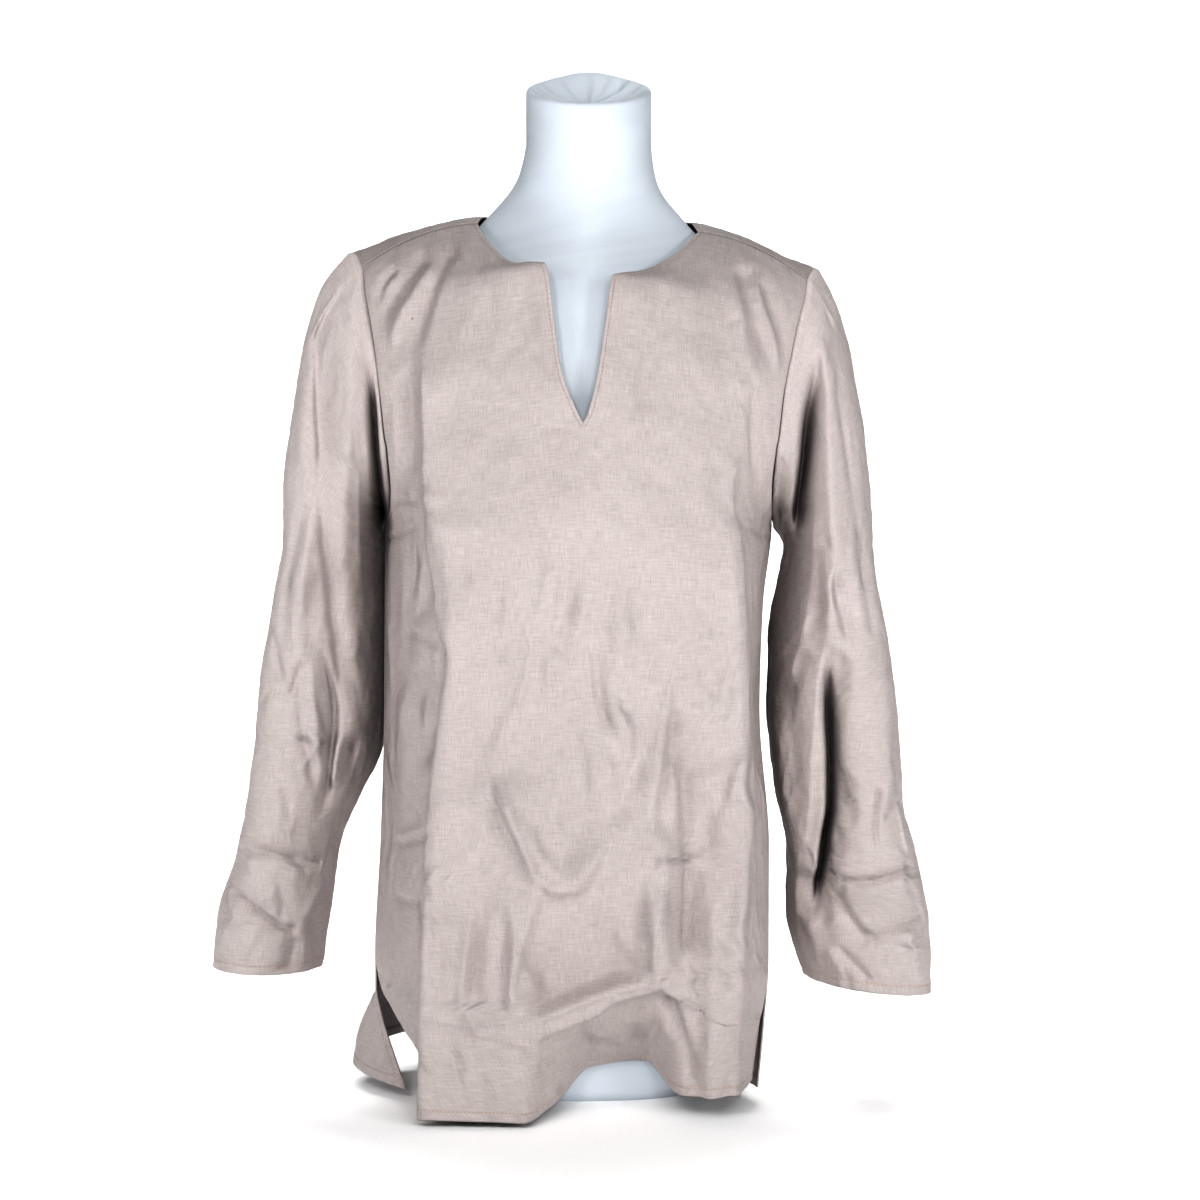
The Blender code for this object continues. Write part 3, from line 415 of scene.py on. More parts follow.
RIGHT_FOLDS = (
    (8, 7, 12, 0.3, 0.12, 0.2, (
        (195, 653), (198, 606), (200, 557), (202, 508), (204, 458), (203, 425), (200, 392), (195, 359),
    )),
    (-32, 4, 8, 0.3, 0.55, 0.2, (
        (193, 639), (189, 606), (183, 573), (181, 540), (179, 508), (178, 471),
    )),
    (-4, 3, 6, 0.4, 0.2, 0.2, (
        (206, 655), (208, 590), (213, 557), (219, 524), (223, 491), (227, 458), (233, 425), (238, 392),
        (245, 359),
    )),
    (-5, 3, 4, 0.2, 0.3, 0.3, ((200, 683), (202, 663), (205, 643))),
    (-8, 3, 7, 0.3, 0.2, 0.3, ((206, 452), (209, 425), (215, 404), (220, 385))),
    (-36, 3, 8, 0.6, 0.32, 0.2, (
        (204, 396), (202, 359), (203, 326), (205, 292), (205, 259), (202, 225), (199, 192), (195, 154),
    )),
    (-6, 6, 7, 0, 0.3, 0.3, ((211, 388), (213, 363), (213, 338))),
    (-6, 8, 6, 0, 0.3, 0.3, ((217, 288), (220, 259), (220, 225))),
    (14, 11, 11, 0, 0.3, 0.3, ((162, 350), (160, 310), (163, 260), (172, 210), (180, 180))),
    (6, 12, 4, 0.3, 0.2, 0.1, ((197, 384), (192, 342), (189, 292), (186, 242), (182, 207))),
    (5, 4, 6, 0.3, 0.2, 0.3, ((156, 366), (174, 392), (191, 423))),
    (-7, 6, 7, 0, 0.3, 0.3, ((165, 330), (175, 355), (188, 384))),
    (-5, 2, 2.5, 0.6, 0.2, 0.3, ((244, 273), (243, 251), (242, 232), (247, 209))),
    (-3, 2, 2, 0.5, 0.2, 0.3, ((249, 242), (255, 249), (260, 256))),
    (-6, 2, 4, 0.6, 0.05, 0.1, ((212, 189), (233, 190), (250, 194), (267, 199), (276, 202))),
    (5, 16, 3, 0.2, 0.1, 0.1, ((214, 184), (233, 184), (254, 189), (269, 194))),
    (-8, 10, 3, 0.4, 0.2, 0.1, ((209, 182), (224, 158), (238, 137))),
    (-8, 2.5, 11, 0.5, 0.1, 0.1, ((238, 136), (254, 145), (271, 152), (287, 157))),
    (-5, 3, 3, 0.3, 0.2, 0.1, ((211, 135), (226, 120), (240, 104))),
    (4, 4, 5, 0.2, 0.3, 0.3, ((203, 133), (210, 120), (220, 108))),
    (-14, 13, 10, 0, 0.3, 0.3, ((196, 200), (193, 175), (193, 146))),
    (3, 2, 3, 0.4, 0.2, 0.2, ((261, 254), (266, 232), (271, 210))),
)

# The sleeve's side that faces the body: it falls straight back from an edge along the front.
# Each row is the height, how far across the edge lies, and how much of the fall there is.
TUCK_COLUMNS = ("z", "edge", "amount")
LEFT_TUCK = (
    (104, 234, 0.8),
    (125, 235, 0.8),
    (146, 236, 1),
    (163, 229, 1),
    (181, 221, 1),
    (199, 221, 1),
    (217, 216, 1),
    (242, 210, 1),
    (259, 200, 1),
    (280, 194, 0.9),
    (305, 187, 0.8),
    (332, 180, 0.8),
    (351, 182, 1),
    (384, 184, 1),
    (425, 185, 1),
    (465, 186, 1),
    (490, 185, 0.8),
    (515, 184, 0.3),
    (545, 183, 0),
)
RIGHT_TUCK = (
    (91, 197, 0.6),
    (112, 192, 0.8),
    (141, 180, 1),
    (175, 179, 1),
    (209, 177, 1),
    (234, 171, 0.2),
    (292, 166, 0),
    (330, 167, 0.1),
    (359, 173, 0.6),
    (392, 180, 1),
    (425, 186, 1),
    (458, 189, 1),
    (485, 189, 0.8),
    (510, 189, 0.3),
    (545, 190, 0),
)

# The pressed crease above each hem, across it: its height, how far the cloth below it has turned
# back, in degrees, and how far its small folds take the hem up.
CREASE_COLUMNS = ("x", "height", "turn", "up")
FRONT_CREASE = (
    (-180, 88, 0, 0),
    (-128, 88, 0, 0),
    (-50, 84, 0, 0),
    (-30, 92, 19, 0),
    (5, 105, 50, -5),
    (54, 120, 46, -3),
    (84, 112, 12, 13),
    (118, 92, 8, 15),
    (160, 80, 0, 4),
)
BACK_CREASE = (
    (-180, 90, 0, 0),
    (-168, 92, 12, 4),
    (-148, 95, 36, 8),
    (-115, 90, 30, 6),
    (-60, 80, 8, 0),
    (0, 80, 0, 0),
    (160, 80, 0, 0),
)

# How the left slit's edges have moved at each level: in, up and forward at the edge, and how far
# the cloth before the edge bulges out. Each starts so far from the edge.
SLIT_COLUMNS = ("level", "in", "up", "forward", "bulge")
FRONT_SLIT = (
    (9, 60, 36, 0, -18),
    (30, 50, 27, 0, -15),
    (50, 35, 15, 0, -8),
    (69, 15, 5, 0, -1),
    (92, 4, 0, 0, 0),
    (115, 0, 0, 0, 0),
)
BACK_SLIT = (
    (7, 30, -3, 38, 52),
    (40, 16, -1, 20, 40),
    (69, 5, 0, 7, 24),
    (92, 0, 0, 0.5, 10),
    (115, 0, 0, 0, 0),
)
FRONT_SLIT_REACH = 128
BACK_SLIT_REACH = 100

# The form: each ring's height, half width, front and back, how far its middle is shifted, and
# its front's roundness: 2 is an ellipse, and less draws its two ends out into the shoulders.
FORM_COLUMNS = ("z", "half", "front", "back", "shift", "roundness")
FORM = (
    (0, 84, -30, 62, 0, 2.0),
    (6, 88, -33, 66, 0, 2.0),
    (30, 94, -37, 72, -2, 2.0),
    (60, 110, -54, 80, -5, 2.0),
    (90, 126, -76, 86, -8, 2.0),
    (120, 136, -90, 88, -9, 2.1),
    (170, 137, -94, 86, -9, 2.1),
    (240, 128, -88, 79, -8, 2.0),
    (330, 117, -84, 69, -7, 2.0),
    (400, 125, -92, 71, -6, 2.0),
    (480, 140, -107, 77, -4, 2.1),
    (530, 143, -104, 79, -3, 2.1),
    (580, 145, -96, 79, -2, 2.1),
    (630, 150, -86, 76, -1, 2.0),
    (665, 155, -74, 66, 0, 1.8),
    (684, 155, -66, 58, 0, 1.55),
    (697, 146, -60, 54, 0, 1.4),
    (709, 124, -56, 50, -1, 1.3),
    (722, 98, -52, 47, 0, 1.2),
    (735, 88, -49, 48, 0, 1.2),
    (746, 77, -48, 50, 1, 1.35),
    (755, 68, -47, 51, 0, 1.8),
    (764, 61, -47, 51, 2, 2.0),
    (780, 56, -48, 52, 3, 2.0),
    (800, NECK_RADIUS, -49, 53, 4, 2.0),
)
# The neck's top, from its rim in: each ring's share of the neck's width, and how far it sinks.
NECK_DISH = ((1, 0), (0.985, -1.5), (0.95, -2), (0.9, -1.2), (0.85, 0.5), (0.78, 3.5), (0.7, 6),
             (0.55, 8.6), (0.4, 10), (0.2, 10.4), (0.04, 10.6), (0, 10.6))
# The form's steps round.
FORM_STEPS = 144
# The form is finely ringed above this height, where it shows.
FORM_SHOWS = 600
# The rings from the neck's foot to its rim. The cover pulls the rings straight from this one up,
# and so many times over.
NECK_RINGS = 16
COVER_STARTS = 40
COVER_PULLS = 12
# The cover's rim stands up at the back in a soft point, so high and so wide in radians.
RIM_POINT = 5
RIM_POINT_WIDTH = 0.42
# How deep the cover's pleats are in the dish.
PLEAT_DEPTH = 3.2

# What makes the front and the back, and each sleeve. "crumple" keeps their unevenness apart.
PANELS = {
    -1: {
        "rows": FRONT, "marks": FRONT_MARKS, "faces": FRONT_FACES, "swells": FRONT_SWELLS,
        "folds": FRONT_FOLDS, "crease": FRONT_CREASE, "slit": FRONT_SLIT,
        "slit_reach": FRONT_SLIT_REACH, "crumple": 0,
    },
    1: {
        "rows": BACK, "marks": BACK_MARKS, "faces": BACK_FACES, "swells": BACK_SWELLS,
        "folds": BACK_FOLDS, "crease": BACK_CREASE, "slit": BACK_SLIT,
        "slit_reach": BACK_SLIT_REACH, "crumple": 900,
    },
}
SLEEVES = {
    -1: {
        "rows": LEFT_SLEEVE, "cap": LEFT_CAP, "swells": LEFT_SWELLS, "folds": LEFT_FOLDS,
        "tuck": LEFT_TUCK, "crumple": 300,
    },
    1: {
        "rows": RIGHT_SLEEVE, "cap": RIGHT_CAP, "swells": RIGHT_SWELLS, "folds": RIGHT_FOLDS,
        "tuck": RIGHT_TUCK, "crumple": 600,
    },
}
# How far a point may be from an edge before it is only given a far distance, or a far share.
NEAR = 30
FAR = 99.0
FAR_SHARE = 3.0


def table(names, rows):
    """The rows as a dictionary of columns."""
    return {name: np.array(column, float) for name, column in zip(names, zip(*rows))}


def row_at(columns, key, place):
    """The table's row at a place between its own rows, along the column that the key names."""
    at = np.array([place])
    return {name: through(columns[key], values, at)[0] for name, values in columns.items()}


def curve_shares(t):
    """The shares at t of a smooth curve's start, its slope there, its end and its slope there."""
    return (1 + 2 * t) * (1 - t) ** 2, t * (1 - t) ** 2, t * t * (3 - 2 * t), t * t * (1 - t)


def through(knots, values, at):
    """A smooth curve through the values at the knots, which never overshoots them."""
    step = np.diff(knots)
    slope = np.diff(values) / step
    before, after = slope[:-1], slope[1:]
    steady = before * after > 0
    middle = np.zeros(len(knots))
    middle[1:-1][steady] = 2 * before[steady] * after[steady] / (before + after)[steady]
    middle[0], middle[-1] = slope[0], slope[-1]
    i = np.clip(np.searchsorted(knots, at) - 1, 0, len(step) - 1)
    first, leaving, last, arriving = curve_shares(np.clip((at - knots[i]) / step[i], 0, 1))
    start = first * values[i] + leaving * step[i] * middle[i]
    end = last * values[i + 1] - arriving * step[i] * middle[i + 1]
    return start + end


def lengths(line):
    """How far each point of a line is along it."""
    return np.concatenate([[0], np.cumsum(np.linalg.norm(np.diff(line, axis=0), axis=1))])


def spaced(line, shares):
    """Points at the given shares of a line's length."""
    along = lengths(line)
    at = along[-1] * np.asarray(shares)
    return np.stack([np.interp(at, along, line[:, k]) for k in range(line.shape[1])], axis=1)


def to_end(points, axis):
    """How far each point of a grid is along the cloth from the last row (0) or column (1)."""
    steps = np.linalg.norm(np.diff(np.flip(points, axis), axis=axis), axis=2).cumsum(axis=axis)
    return np.pad(np.flip(steps, axis), [(0, int(axis == k)) for k in (0, 1)])


def smoothstep(t):
    """A soft step from 0 to 1, as t goes from 0 to 1."""
    t = np.clip(t, 0, 1)
    return t * t * (3 - 2 * t)


def unit(vectors):
    """The same vectors, with a length of 1."""
    return vectors / np.maximum(np.linalg.norm(vectors, axis=-1, keepdims=True), 1e-9)


def level_line(row):
    """One level of a half panel: points from the middle out, and the corner's number."""
    across = np.linspace(0, 1, LEVEL_STEPS + 1)
    width = row["outer"] - row["inner"]
    corner = (row["corner"] - row["inner"]) / width
    middle = row["inner_y"] + (row["corner_y"] - row["inner_y"]) * (across / corner) ** 2
    out = (across - corner) / (1 - corner)
    bow = (1 - SIDE_BOW) * out + SIDE_BOW * out**3
    side = row["corner_y"] + (row["outer_y"] - row["corner_y"]) * bow
    sharp = np.where(out < 0, middle, side)
    # The mean of nine shifted copies rounds the corner off.
    shifts = np.linspace(-1, 1, 9) * row["soft"] / width
    y = np.mean([np.interp(across + shift, across, sharp) for shift in shifts], axis=0)
    y += (row["inner_y"] - y[0]) * (1 - across) + (row["outer_y"] - y[-1]) * across
    z = row["inner_z"] + (row["outer_z"] - row["inner_z"]) * across
    z += row["rise_in"] * (1 - across) + row["rise_out"] * across
    z += row["lift"] * 4 * across * (1 - across)
    points = np.stack([row["inner"] + width * across, y, z], axis=1)
    return points, int(round(corner * LEVEL_STEPS))


def half_panel(rows, side, levels, shares):
    """Points [level, way out, xyz] of half a panel."""
    columns = table(PANEL_COLUMNS, rows)
    half = "l" if side < 0 else "r"
    points = []
    for level in levels:
        row = row_at(columns, "level", level)
        row |= {name: row[f"{name}_{half}"] for name in ("inner", "corner", "outer", "outer_y", "soft")}
        if side > 0:
            row["rise_in"] = row["rise_out"] = 0
        line, corner = level_line(row)
        middle, out = spaced(line[: corner + 1], shares[0]), spaced(line[corner:], shares[1])
        points.append(np.concatenate([middle, out[1:]]) * (side, 1, 1))
    return np.array(points)


def outward_normals(points, outward, closed=False):
    """The unit normal at each point of a grid, on the side that the sign "outward" picks."""
    if closed:
        ring = points[:, :-1]
        across = np.roll(ring, -1, axis=1) - np.roll(ring, 1, axis=1)
        across = np.concatenate([across, across[:, :1]], axis=1)
    else:
        across = np.gradient(points, axis=1)
    return outward * unit(np.cross(across, np.gradient(points, axis=0)))


def panel_normals(points, side, facing, foot):
    """A half panel's outward normals, the same on both halves down the middle."""
    normal = outward_normals(points, -side * facing)
    normal[: foot + 1, 0, 0] = 0
    normal[foot, 0] = normal[foot - 1, 0]
    return unit(normal)


def fold_line(points):
    """A smooth line through the points of a fold."""
    points = np.array(points, float)
    along = lengths(points)
    at = np.linspace(0, along[-1], 8 * len(points))
    return np.stack([through(along, points[:, k], at) for k in (0, 1)], axis=1)


def fold_height(across, up, folds):
    """The height of all the folds at points given by two coordinates."""
    total = np.zeros(across.shape)
    for height, left, right, crisp, rise, fall, points in folds:
        line = fold_line(points)
        # A fold is too low to matter past this many of its widths, and a crisp one reaches further.
        reach = max(left, right) * (2.6 + 2.5 * crisp)
        low, high = line.min(axis=0) - reach, line.max(axis=0) + reach
        near = (across > low[0]) & (across < high[0]) & (up > low[1]) & (up < high[1])
        if not near.any():
            continue
        place = np.stack([across[near], up[near]], axis=1)[:, None]
        start, step = line[:-1], np.diff(line, axis=0)
        share = np.clip(((place - start) * step).sum(axis=2) / (step**2).sum(axis=1), 0, 1)
        gap = place - start - share[..., None] * step
        distance = np.linalg.norm(gap, axis=2)
        nearest = distance.argmin(axis=1)
        pick = np.arange(len(nearest))
        along = (nearest + share[pick, nearest]) / len(step)
        turn = step[nearest, 0] * gap[pick, nearest, 1] - step[nearest, 1] * gap[pick, nearest, 0]
        spread = np.where(turn > 0, right, left)
        fade = smoothstep(along / max(rise, 1e-6)) * smoothstep((1 - along) / max(fall, 1e-6))
        total[near] += height * fade * np.exp(-((distance[pick, nearest] / spread) ** (2 - crisp)))
    return total


def crumple(points, seed):
    """The uneven surface of worn linen. The seed moves the pattern, so that no two pieces match."""
    height = np.zeros(points.shape[:2])
    for i, row in enumerate(points):
        for j, (x, y, z) in enumerate(row):
            place = Vector((x, y, z + seed))
            swell = noise.noise(place / SWELL_WIDTH)
            ridge = 0.5 - abs(noise.noise(Vector((x, y, z * 0.7 + seed)) / RIDGE_WIDTH))
            small = 0.5 - abs(noise.noise(Vector((y + seed, z, x)) / SMALL_WIDTH))
            tooth = noise.noise(place / TOOTH_WIDTH)
            height[i, j] = (
                SWELL_HEIGHT * swell + RIDGE_HEIGHT * ridge + SMALL_HEIGHT * small + TOOTH_HEIGHT * tooth
            )
    return height


def turn_hem(points, rows):
    """Turns a panel back below the pressed crease."""
    crease = table(CREASE_COLUMNS, rows)
    at = {name: through(crease["x"], column, points[..., 0]) for name, column in crease.items()}
    turn = np.radians(at["turn"])
    below = np.maximum(at["height"] - points[..., 2], 0)
    moved = points.copy()
    moved[..., 1] += below * np.sin(turn)
    moved[..., 2] += below * (1 - np.cos(turn))
    moved[..., 2] += at["up"] * smoothstep(below / HEM_RISE_REACH)
    return moved


def move_slit(points, rows, reach):
    """Moves the left slit's edge in, up and forward, and the cloth before it out."""
    slit = table(SLIT_COLUMNS, rows)
    share = np.clip(1 - to_end(points, 1) / reach, 0, 1)
    height = np.minimum(points[:, -1:, 2], slit["level"][-1])
    by = {name: through(slit["level"], column, height) for name, column in slit.items()}
    moved = points.copy()
    moved[..., 0] += by["in"] * share - by["bulge"] * 4 * share * (1 - share)
    moved[..., 1] -= by["forward"] * share**2
    moved[..., 2] += by["up"] * share
    return moved


def panel_levels(facing):
    """A panel's levels from the hem up, and the row where its middle opens."""
    marks, faces = PANELS[facing]["marks"], PANELS[facing]["faces"]
    parts = [np.linspace(a, b, n, endpoint=False) for a, b, n in zip(marks, marks[1:], faces)]
    return np.concatenate([*parts, [marks[-1]]]), sum(faces[:RUNS_TO_OPENING])


def finished_half(side, facing):
    """Points [level, way out, xyz] of one half of the front or the back, with all its folds."""
    plan = PANELS[facing]
    levels, foot = panel_levels(facing)
    points = half_panel(plan["rows"], side, levels, (MIDDLE_SHARES, SIDE_SHARES))
    flat = turn_hem(points, plan["crease"])
    height = SWELL_DEPTH * fold_height(points[..., 0], points[..., 2], plan["swells"])
    height += FOLD_DEPTH * fold_height(flat[..., 0], flat[..., 2], plan["folds"])
    height += crumple(points, plan["crumple"])
    # Folds die away towards the seams, so that they still meet, and the seam's edge rolls in.
    to_side = to_end(points, 1)
    height *= smoothstep(to_side / SIDE_CALM) * smoothstep(to_end(points, 0) / SHOULDER_CALM)
    height -= SEAM_ROLL * smoothstep(1 - to_side / SEAM_ROLL_WIDTH)
    points = flat + panel_normals(flat, side, facing, foot) * height[..., None]
    return move_slit(points, plan["slit"], plan["slit_reach"]) if side < 0 else points


def armhole(side):
    """The armhole's points, up the front, over the shoulder and down the back."""
    lines = []
    for rows, marks in zip((FRONT, BACK), ARMHOLE_LEVELS):
        at = np.linspace(0, len(marks) - 1, (len(marks) - 1) * SLEEVE_STEPS + 1)
        levels = np.interp(at, np.arange(len(marks)), marks)
        lines.append(half_panel(rows, side, levels, ((0, 1), (0, 1)))[:, -1])
    return np.concatenate([lines[0], lines[1][::-1][1:]])


def sleeve_ring(row, side, turn):
    """One ring of a sleeve below the underarm."""
    middle, half = (row["inner"] + row["outer"]) / 2, (row["outer"] - row["inner"]) / 2
    x = middle - half * np.cos(turn) + row["lean"] * np.sin(turn)
    y = (row["front"] + row["back"]) / 2 - (row["back"] - row["front"]) / 2 * np.sin(turn)
    z = row["inner_z"] + (row["outer_z"] - row["inner_z"]) * (1 - np.cos(turn)) / 2
    return np.stack([side * x, y, z], axis=1)


def tucked(points, turn, rows):
    """A sleeve with the side that faces the body fallen back behind the front's edge."""
    tuck = table(TUCK_COLUMNS, rows)
    quarter = turn <= math.pi / 2
    moved = points.copy()
    for ring in moved:
        across, depth = np.abs(ring[quarter, 0]), ring[quarter, 1]
        edge = through(tuck["z"], tuck["edge"], ring[quarter, 2])
        amount = through(tuck["z"], tuck["amount"], ring[quarter, 2])
        share = np.clip((edge - across) / np.maximum(edge - across[0], 1), 0, 1)
        front = np.interp(edge, across, depth)
        fallen = front + (depth[0] - front) * share**0.9
        ring[quarter, 1] += amount * np.where(share > 0, fallen - depth, 0)
    return moved


def sleeve_rings(side, top, turn):
    """A sleeve's smooth rings, from the cuff up to its cap, whose top is the armhole."""
    plan = SLEEVES[side]
    columns = table(SLEEVE_COLUMNS, plan["rows"])
    cuff, underarm = columns["inner_z"][[0, -1]]
    heights = np.interp(
        np.arange(SLEEVE_ROWS + 1), (0, CUFF_ROWS, SLEEVE_ROWS), (cuff, cuff + CUFF_BAND, underarm)
    )
    rings = [sleeve_ring(row_at(columns, "inner_z", height), side, turn) for height in heights]
    base = rings[-1]
    rise = np.linalg.norm(top - base, axis=1, keepdims=True)
    leave, arrive = rise * (0, 0, CAP_LEAVES), rise * (-plan["cap"] * side, 0, CAP_ARRIVES)
    for t in np.linspace(0, 1, CAP_ROWS + 1)[1:]:
        first, leaving, last, arriving = curve_shares(t)
        rings.append(first * base + leaving * leave + last * top - arriving * arrive)
    return np.array(rings)


def finished_sleeve(side):
    """Points [way up, way round, xyz] of a sleeve with all its folds, from the cuff to the armhole."""
    plan, top = SLEEVES[side], armhole(side)
    turn = np.linspace(0, 2 * math.pi, len(top))
    points = sleeve_rings(side, top, turn)
    # The side that faces the body sits back, from a little below the underarm down.
    low = smoothstep((UNDERARM + 6 - points[..., 2]) / 60)
    points[..., 1] += TUCK_DEPTH * (0.5 + 0.5 * np.cos(turn)) ** 2 * low
    flat = tucked(points, turn, plan["tuck"])
    round_it = np.degrees(turn) + 0 * points[..., 0]
    height = fold_height(round_it, points[..., 2], plan["swells"]) + crumple(points, plan["crumple"])
    height[:, -1] = height[:, 0]
    to_top = to_end(points, 0)
    height *= smoothstep(to_top / HEAD_CALM)
    # The edges sewn into the armhole lie inside the sleeve's head and hold it up beside the seam.
    ridge = HEAD_RIDGE * smoothstep(to_top / 2.5) * (1 - smoothstep((to_top - 4) / 8))
    height += ridge - HEAD_ROLL * (1 - smoothstep(to_top / 2))
    folded = flat + outward_normals(points, side, closed=True) * height[..., None]
    # The front's folds lie across and up, and stand straight out to the front.
    depth = fold_height(points[..., 0], points[..., 2], plan["folds"])
    folded[..., 1] -= depth * smoothstep(np.sin(turn) / 0.3) * smoothstep(to_top / HEAD_FOLD_CALM)
    return folded


def edge_distance(points, edge):
    """How far each point of a grid is from a line."""
    start, step = edge[:-1], np.diff(edge, axis=0)
    square = np.maximum((step**2).sum(axis=1), 1e-9)
    low, high = edge.min(axis=0) - NEAR, edge.max(axis=0) + NEAR
    near = ((points > low) & (points < high)).all(axis=-1)
    place = points[near][:, None]
    share = np.clip(((place - start) * step).sum(axis=2) / square, 0, 1)
    gap = np.linalg.norm(place - start - share[..., None] * step, axis=2).min(axis=1)
    distance = np.full(points.shape[:-1], FAR)
    distance[near] = gap
    return distance


def turned_in(points, edges):
    """How far each point is from a finished edge, in shares of that edge's turning."""
    shares = [edge_distance(points, edge) / width for edge, width in edges]
    return np.minimum.reduce([*shares, np.full(points.shape[:-1], FAR_SHARE)])


def cut_map(points, side, levels=None):
    """Where each point lies on the flat cloth, in metres: across from the centre line, and up."""
    steps = np.linalg.norm(np.diff(points, axis=1), axis=2).cumsum(axis=1)
    across = np.abs(points[:, :1, 0]) + np.pad(steps, ((0, 0), (1, 0)))
    if levels is None:
        # The height along a line a third of the way round, down the front.
        levels = lengths(points[:, points.shape[1] // 3])
    return np.stack([side * across, levels[:, None] + 0 * across], axis=2) * MM


def add_grid(mesh, points, places, turned):
    """A grid of faces through points [row, column, xyz], with its map and its turnings."""
    rows, columns = points.shape[0] - 1, points.shape[1] - 1
    made = bmesh.ops.create_grid(mesh, x_segments=columns, y_segments=rows, size=0.5)["verts"]
    cut = mesh.loops.layers.uv["cut"]
    edge = mesh.verts.layers.float["turned"]
    layers = mesh.verts.layers.deform.active
    for vertex in made:
        j, i = round((vertex.co.x + 0.5) * columns), round((vertex.co.y + 0.5) * rows)
        for loop in vertex.link_loops:
            loop[cut].uv = places[i, j]
        vertex.co = points[i, j] * MM
        vertex[edge] = turned[i, j]
        # Two layers of cloth at a turned edge, and one elsewhere.
        vertex[layers][0] = 1.0 if turned[i, j] < 1 else 0.5


def sheet_mesh(grids):
    """One mesh of grids that meet along their edges, each its points, its map and its turnings."""
    mesh = bmesh.new()
    mesh.loops.layers.uv.new("cut")
    mesh.verts.layers.float.new("turned")
    mesh.verts.layers.deform.new()
    for grid in grids:
        add_grid(mesh, *grid)
    bmesh.ops.remove_doubles(mesh, verts=mesh.verts, dist=1e-6)
    bmesh.ops.dissolve_degenerate(mesh, edges=mesh.edges, dist=1e-7)
    bmesh.ops.recalc_face_normals(mesh, faces=mesh.faces)
    return mesh


def cloth_object(name, grids, material, shade_reach):
    """A thin sheet that faces outwards, two layers thick at its turned edges."""
    mesh = sheet_mesh(grids)
    face_out(mesh)
    piece = finish_mesh(name, mesh, material)
    reach = piece.data.attributes.new("shade_reach", "FLOAT", "POINT")
    reach.data.foreach_set("value", np.full(len(piece.data.vertices), shade_reach * MM))
    piece.vertex_groups.new(name="layers")
    thickness = piece.modifiers.new("cloth", "SOLIDIFY")
    thickness.thickness = TURNED_CLOTH * MM
    thickness.offset = -1
    thickness.vertex_group = "layers"
    thickness.use_rim = True
    return piece


def face_out(mesh):
    """Turns a sheet's faces so that most of them look away from the wearer's middle."""
    middle = sum((vertex.co for vertex in mesh.verts), Vector()) / len(mesh.verts)
    middle.y *= 0.2
    away = sum(
        face.normal.dot(face.calc_center_median() - middle) * face.calc_area() for face in mesh.faces
    )
    if away < 0:
        bmesh.ops.reverse_faces(mesh, faces=mesh.faces)


def finish_mesh(name, mesh, material):
    """An object at the origin, shaded smooth, with its place in its mesh."""
    data = bpy.data.meshes.new(name)
    mesh.to_mesh(data)
    mesh.free()
    data.materials.append(material)
    data.shade_smooth()
    piece = bpy.data.objects.new(name, data)
    bpy.context.scene.collection.objects.link(piece)
    return piece


def seam_path(edge, normals, inset, width):
    """A line that runs beside an edge, so far in on the cloth."""
    along = unit(np.gradient(edge, axis=0))
    line = edge + inset * width * unit(np.cross(normals, along))
    # Where the edge turns a corner, the line would cross itself, and those points are left out.
    clear = edge_distance(line[:, None], edge)[:, 0] > 0.93 * width
    return line[clear]


def stitches(name, cloth, paths, material):
    """Rows of topstitching on a piece of cloth, as one mesh of short thread beads."""
    sheet = bmesh.new()
    sheet.from_mesh(cloth.data)
    tree = BVHTree.FromBMesh(sheet)
    sheet.free()
    mesh = bmesh.new()
    for path in paths:
        count = int(lengths(path)[-1] / STITCH_PITCH)
        line = spaced(path, np.linspace(0, 1, 2 * count + 1))
        for before, middle, after in zip(line[:-2:2], line[1:-1:2], line[2::2]):
            place, normal, _, _ = tree.find_nearest(Vector(middle * MM))
            along = Vector(after - before)
            along = (along - along.dot(normal) * normal).normalized()
            turn = Matrix((along, normal.cross(along), normal)).transposed().to_4x4()
            size = Matrix.Diagonal((STITCH_LENGTH / 2, THREAD / 2, THREAD / 2, 1 / MM)) * MM
            shift = Matrix.Translation(place + normal * THREAD_LIFT * MM)
            bmesh.ops.create_uvsphere(
                mesh, u_segments=6, v_segments=4, radius=1,
                matrix=shift @ turn @ size @ Matrix.Rotation(math.pi / 2, 4, "Y"),
            )
    return finish_mesh(name, mesh, material)


def panel(name, facing, material, thread):
    """The front or the back, with its topstitching."""
    levels, foot = panel_levels(facing)
    slit = int(np.searchsorted(levels, SLIT_TOP)) + 1
    halves = {side: finished_half(side, facing) for side in (-1, 1)}
    normals = {side: outward_normals(points, -side * facing) for side, points in halves.items()}

    def across(array):
        """The hem's row, from the left side to the right."""
        return np.concatenate([array[-1][0, ::-1], array[1][0, 1:]])

    def around(array):
        """The edge of the middle's opening, from the left shoulder down and up to the right one."""
        return np.concatenate([array[-1][foot:, 0][::-1], array[1][foot:, 0][1:]])

    hem, neck = across(halves), around(halves)
    slits = {side: points[:slit, -1] for side, points in halves.items()}
    edges = [(hem, HEM_TURNING), (neck, NECK_TURNING)]
    edges += [(edge, SLIT_TURNING) for edge in slits.values()]
    grids = [
        (points, cut_map(points, side, levels), turned_in(points, edges))
        for side, points in halves.items()
    ]
    piece = cloth_object(name, grids, material, BODY_SHADE)
    paths = [
        seam_path(hem, across(normals), -facing, HEM_TURNING),
        seam_path(neck, around(normals), facing, NECK_TURNING),
    ]
    for side, edge in slits.items():
        paths.append(seam_path(edge, normals[side][:slit, -1], -side * facing, SLIT_TURNING))
    if facing > 0:
        for side, points in halves.items():
            paths.append(seam_path(points[-1], normals[side][-1], -side, SHOULDER_ROW))
    return piece, stitches(f"{name}_stitching", piece, paths, thread)


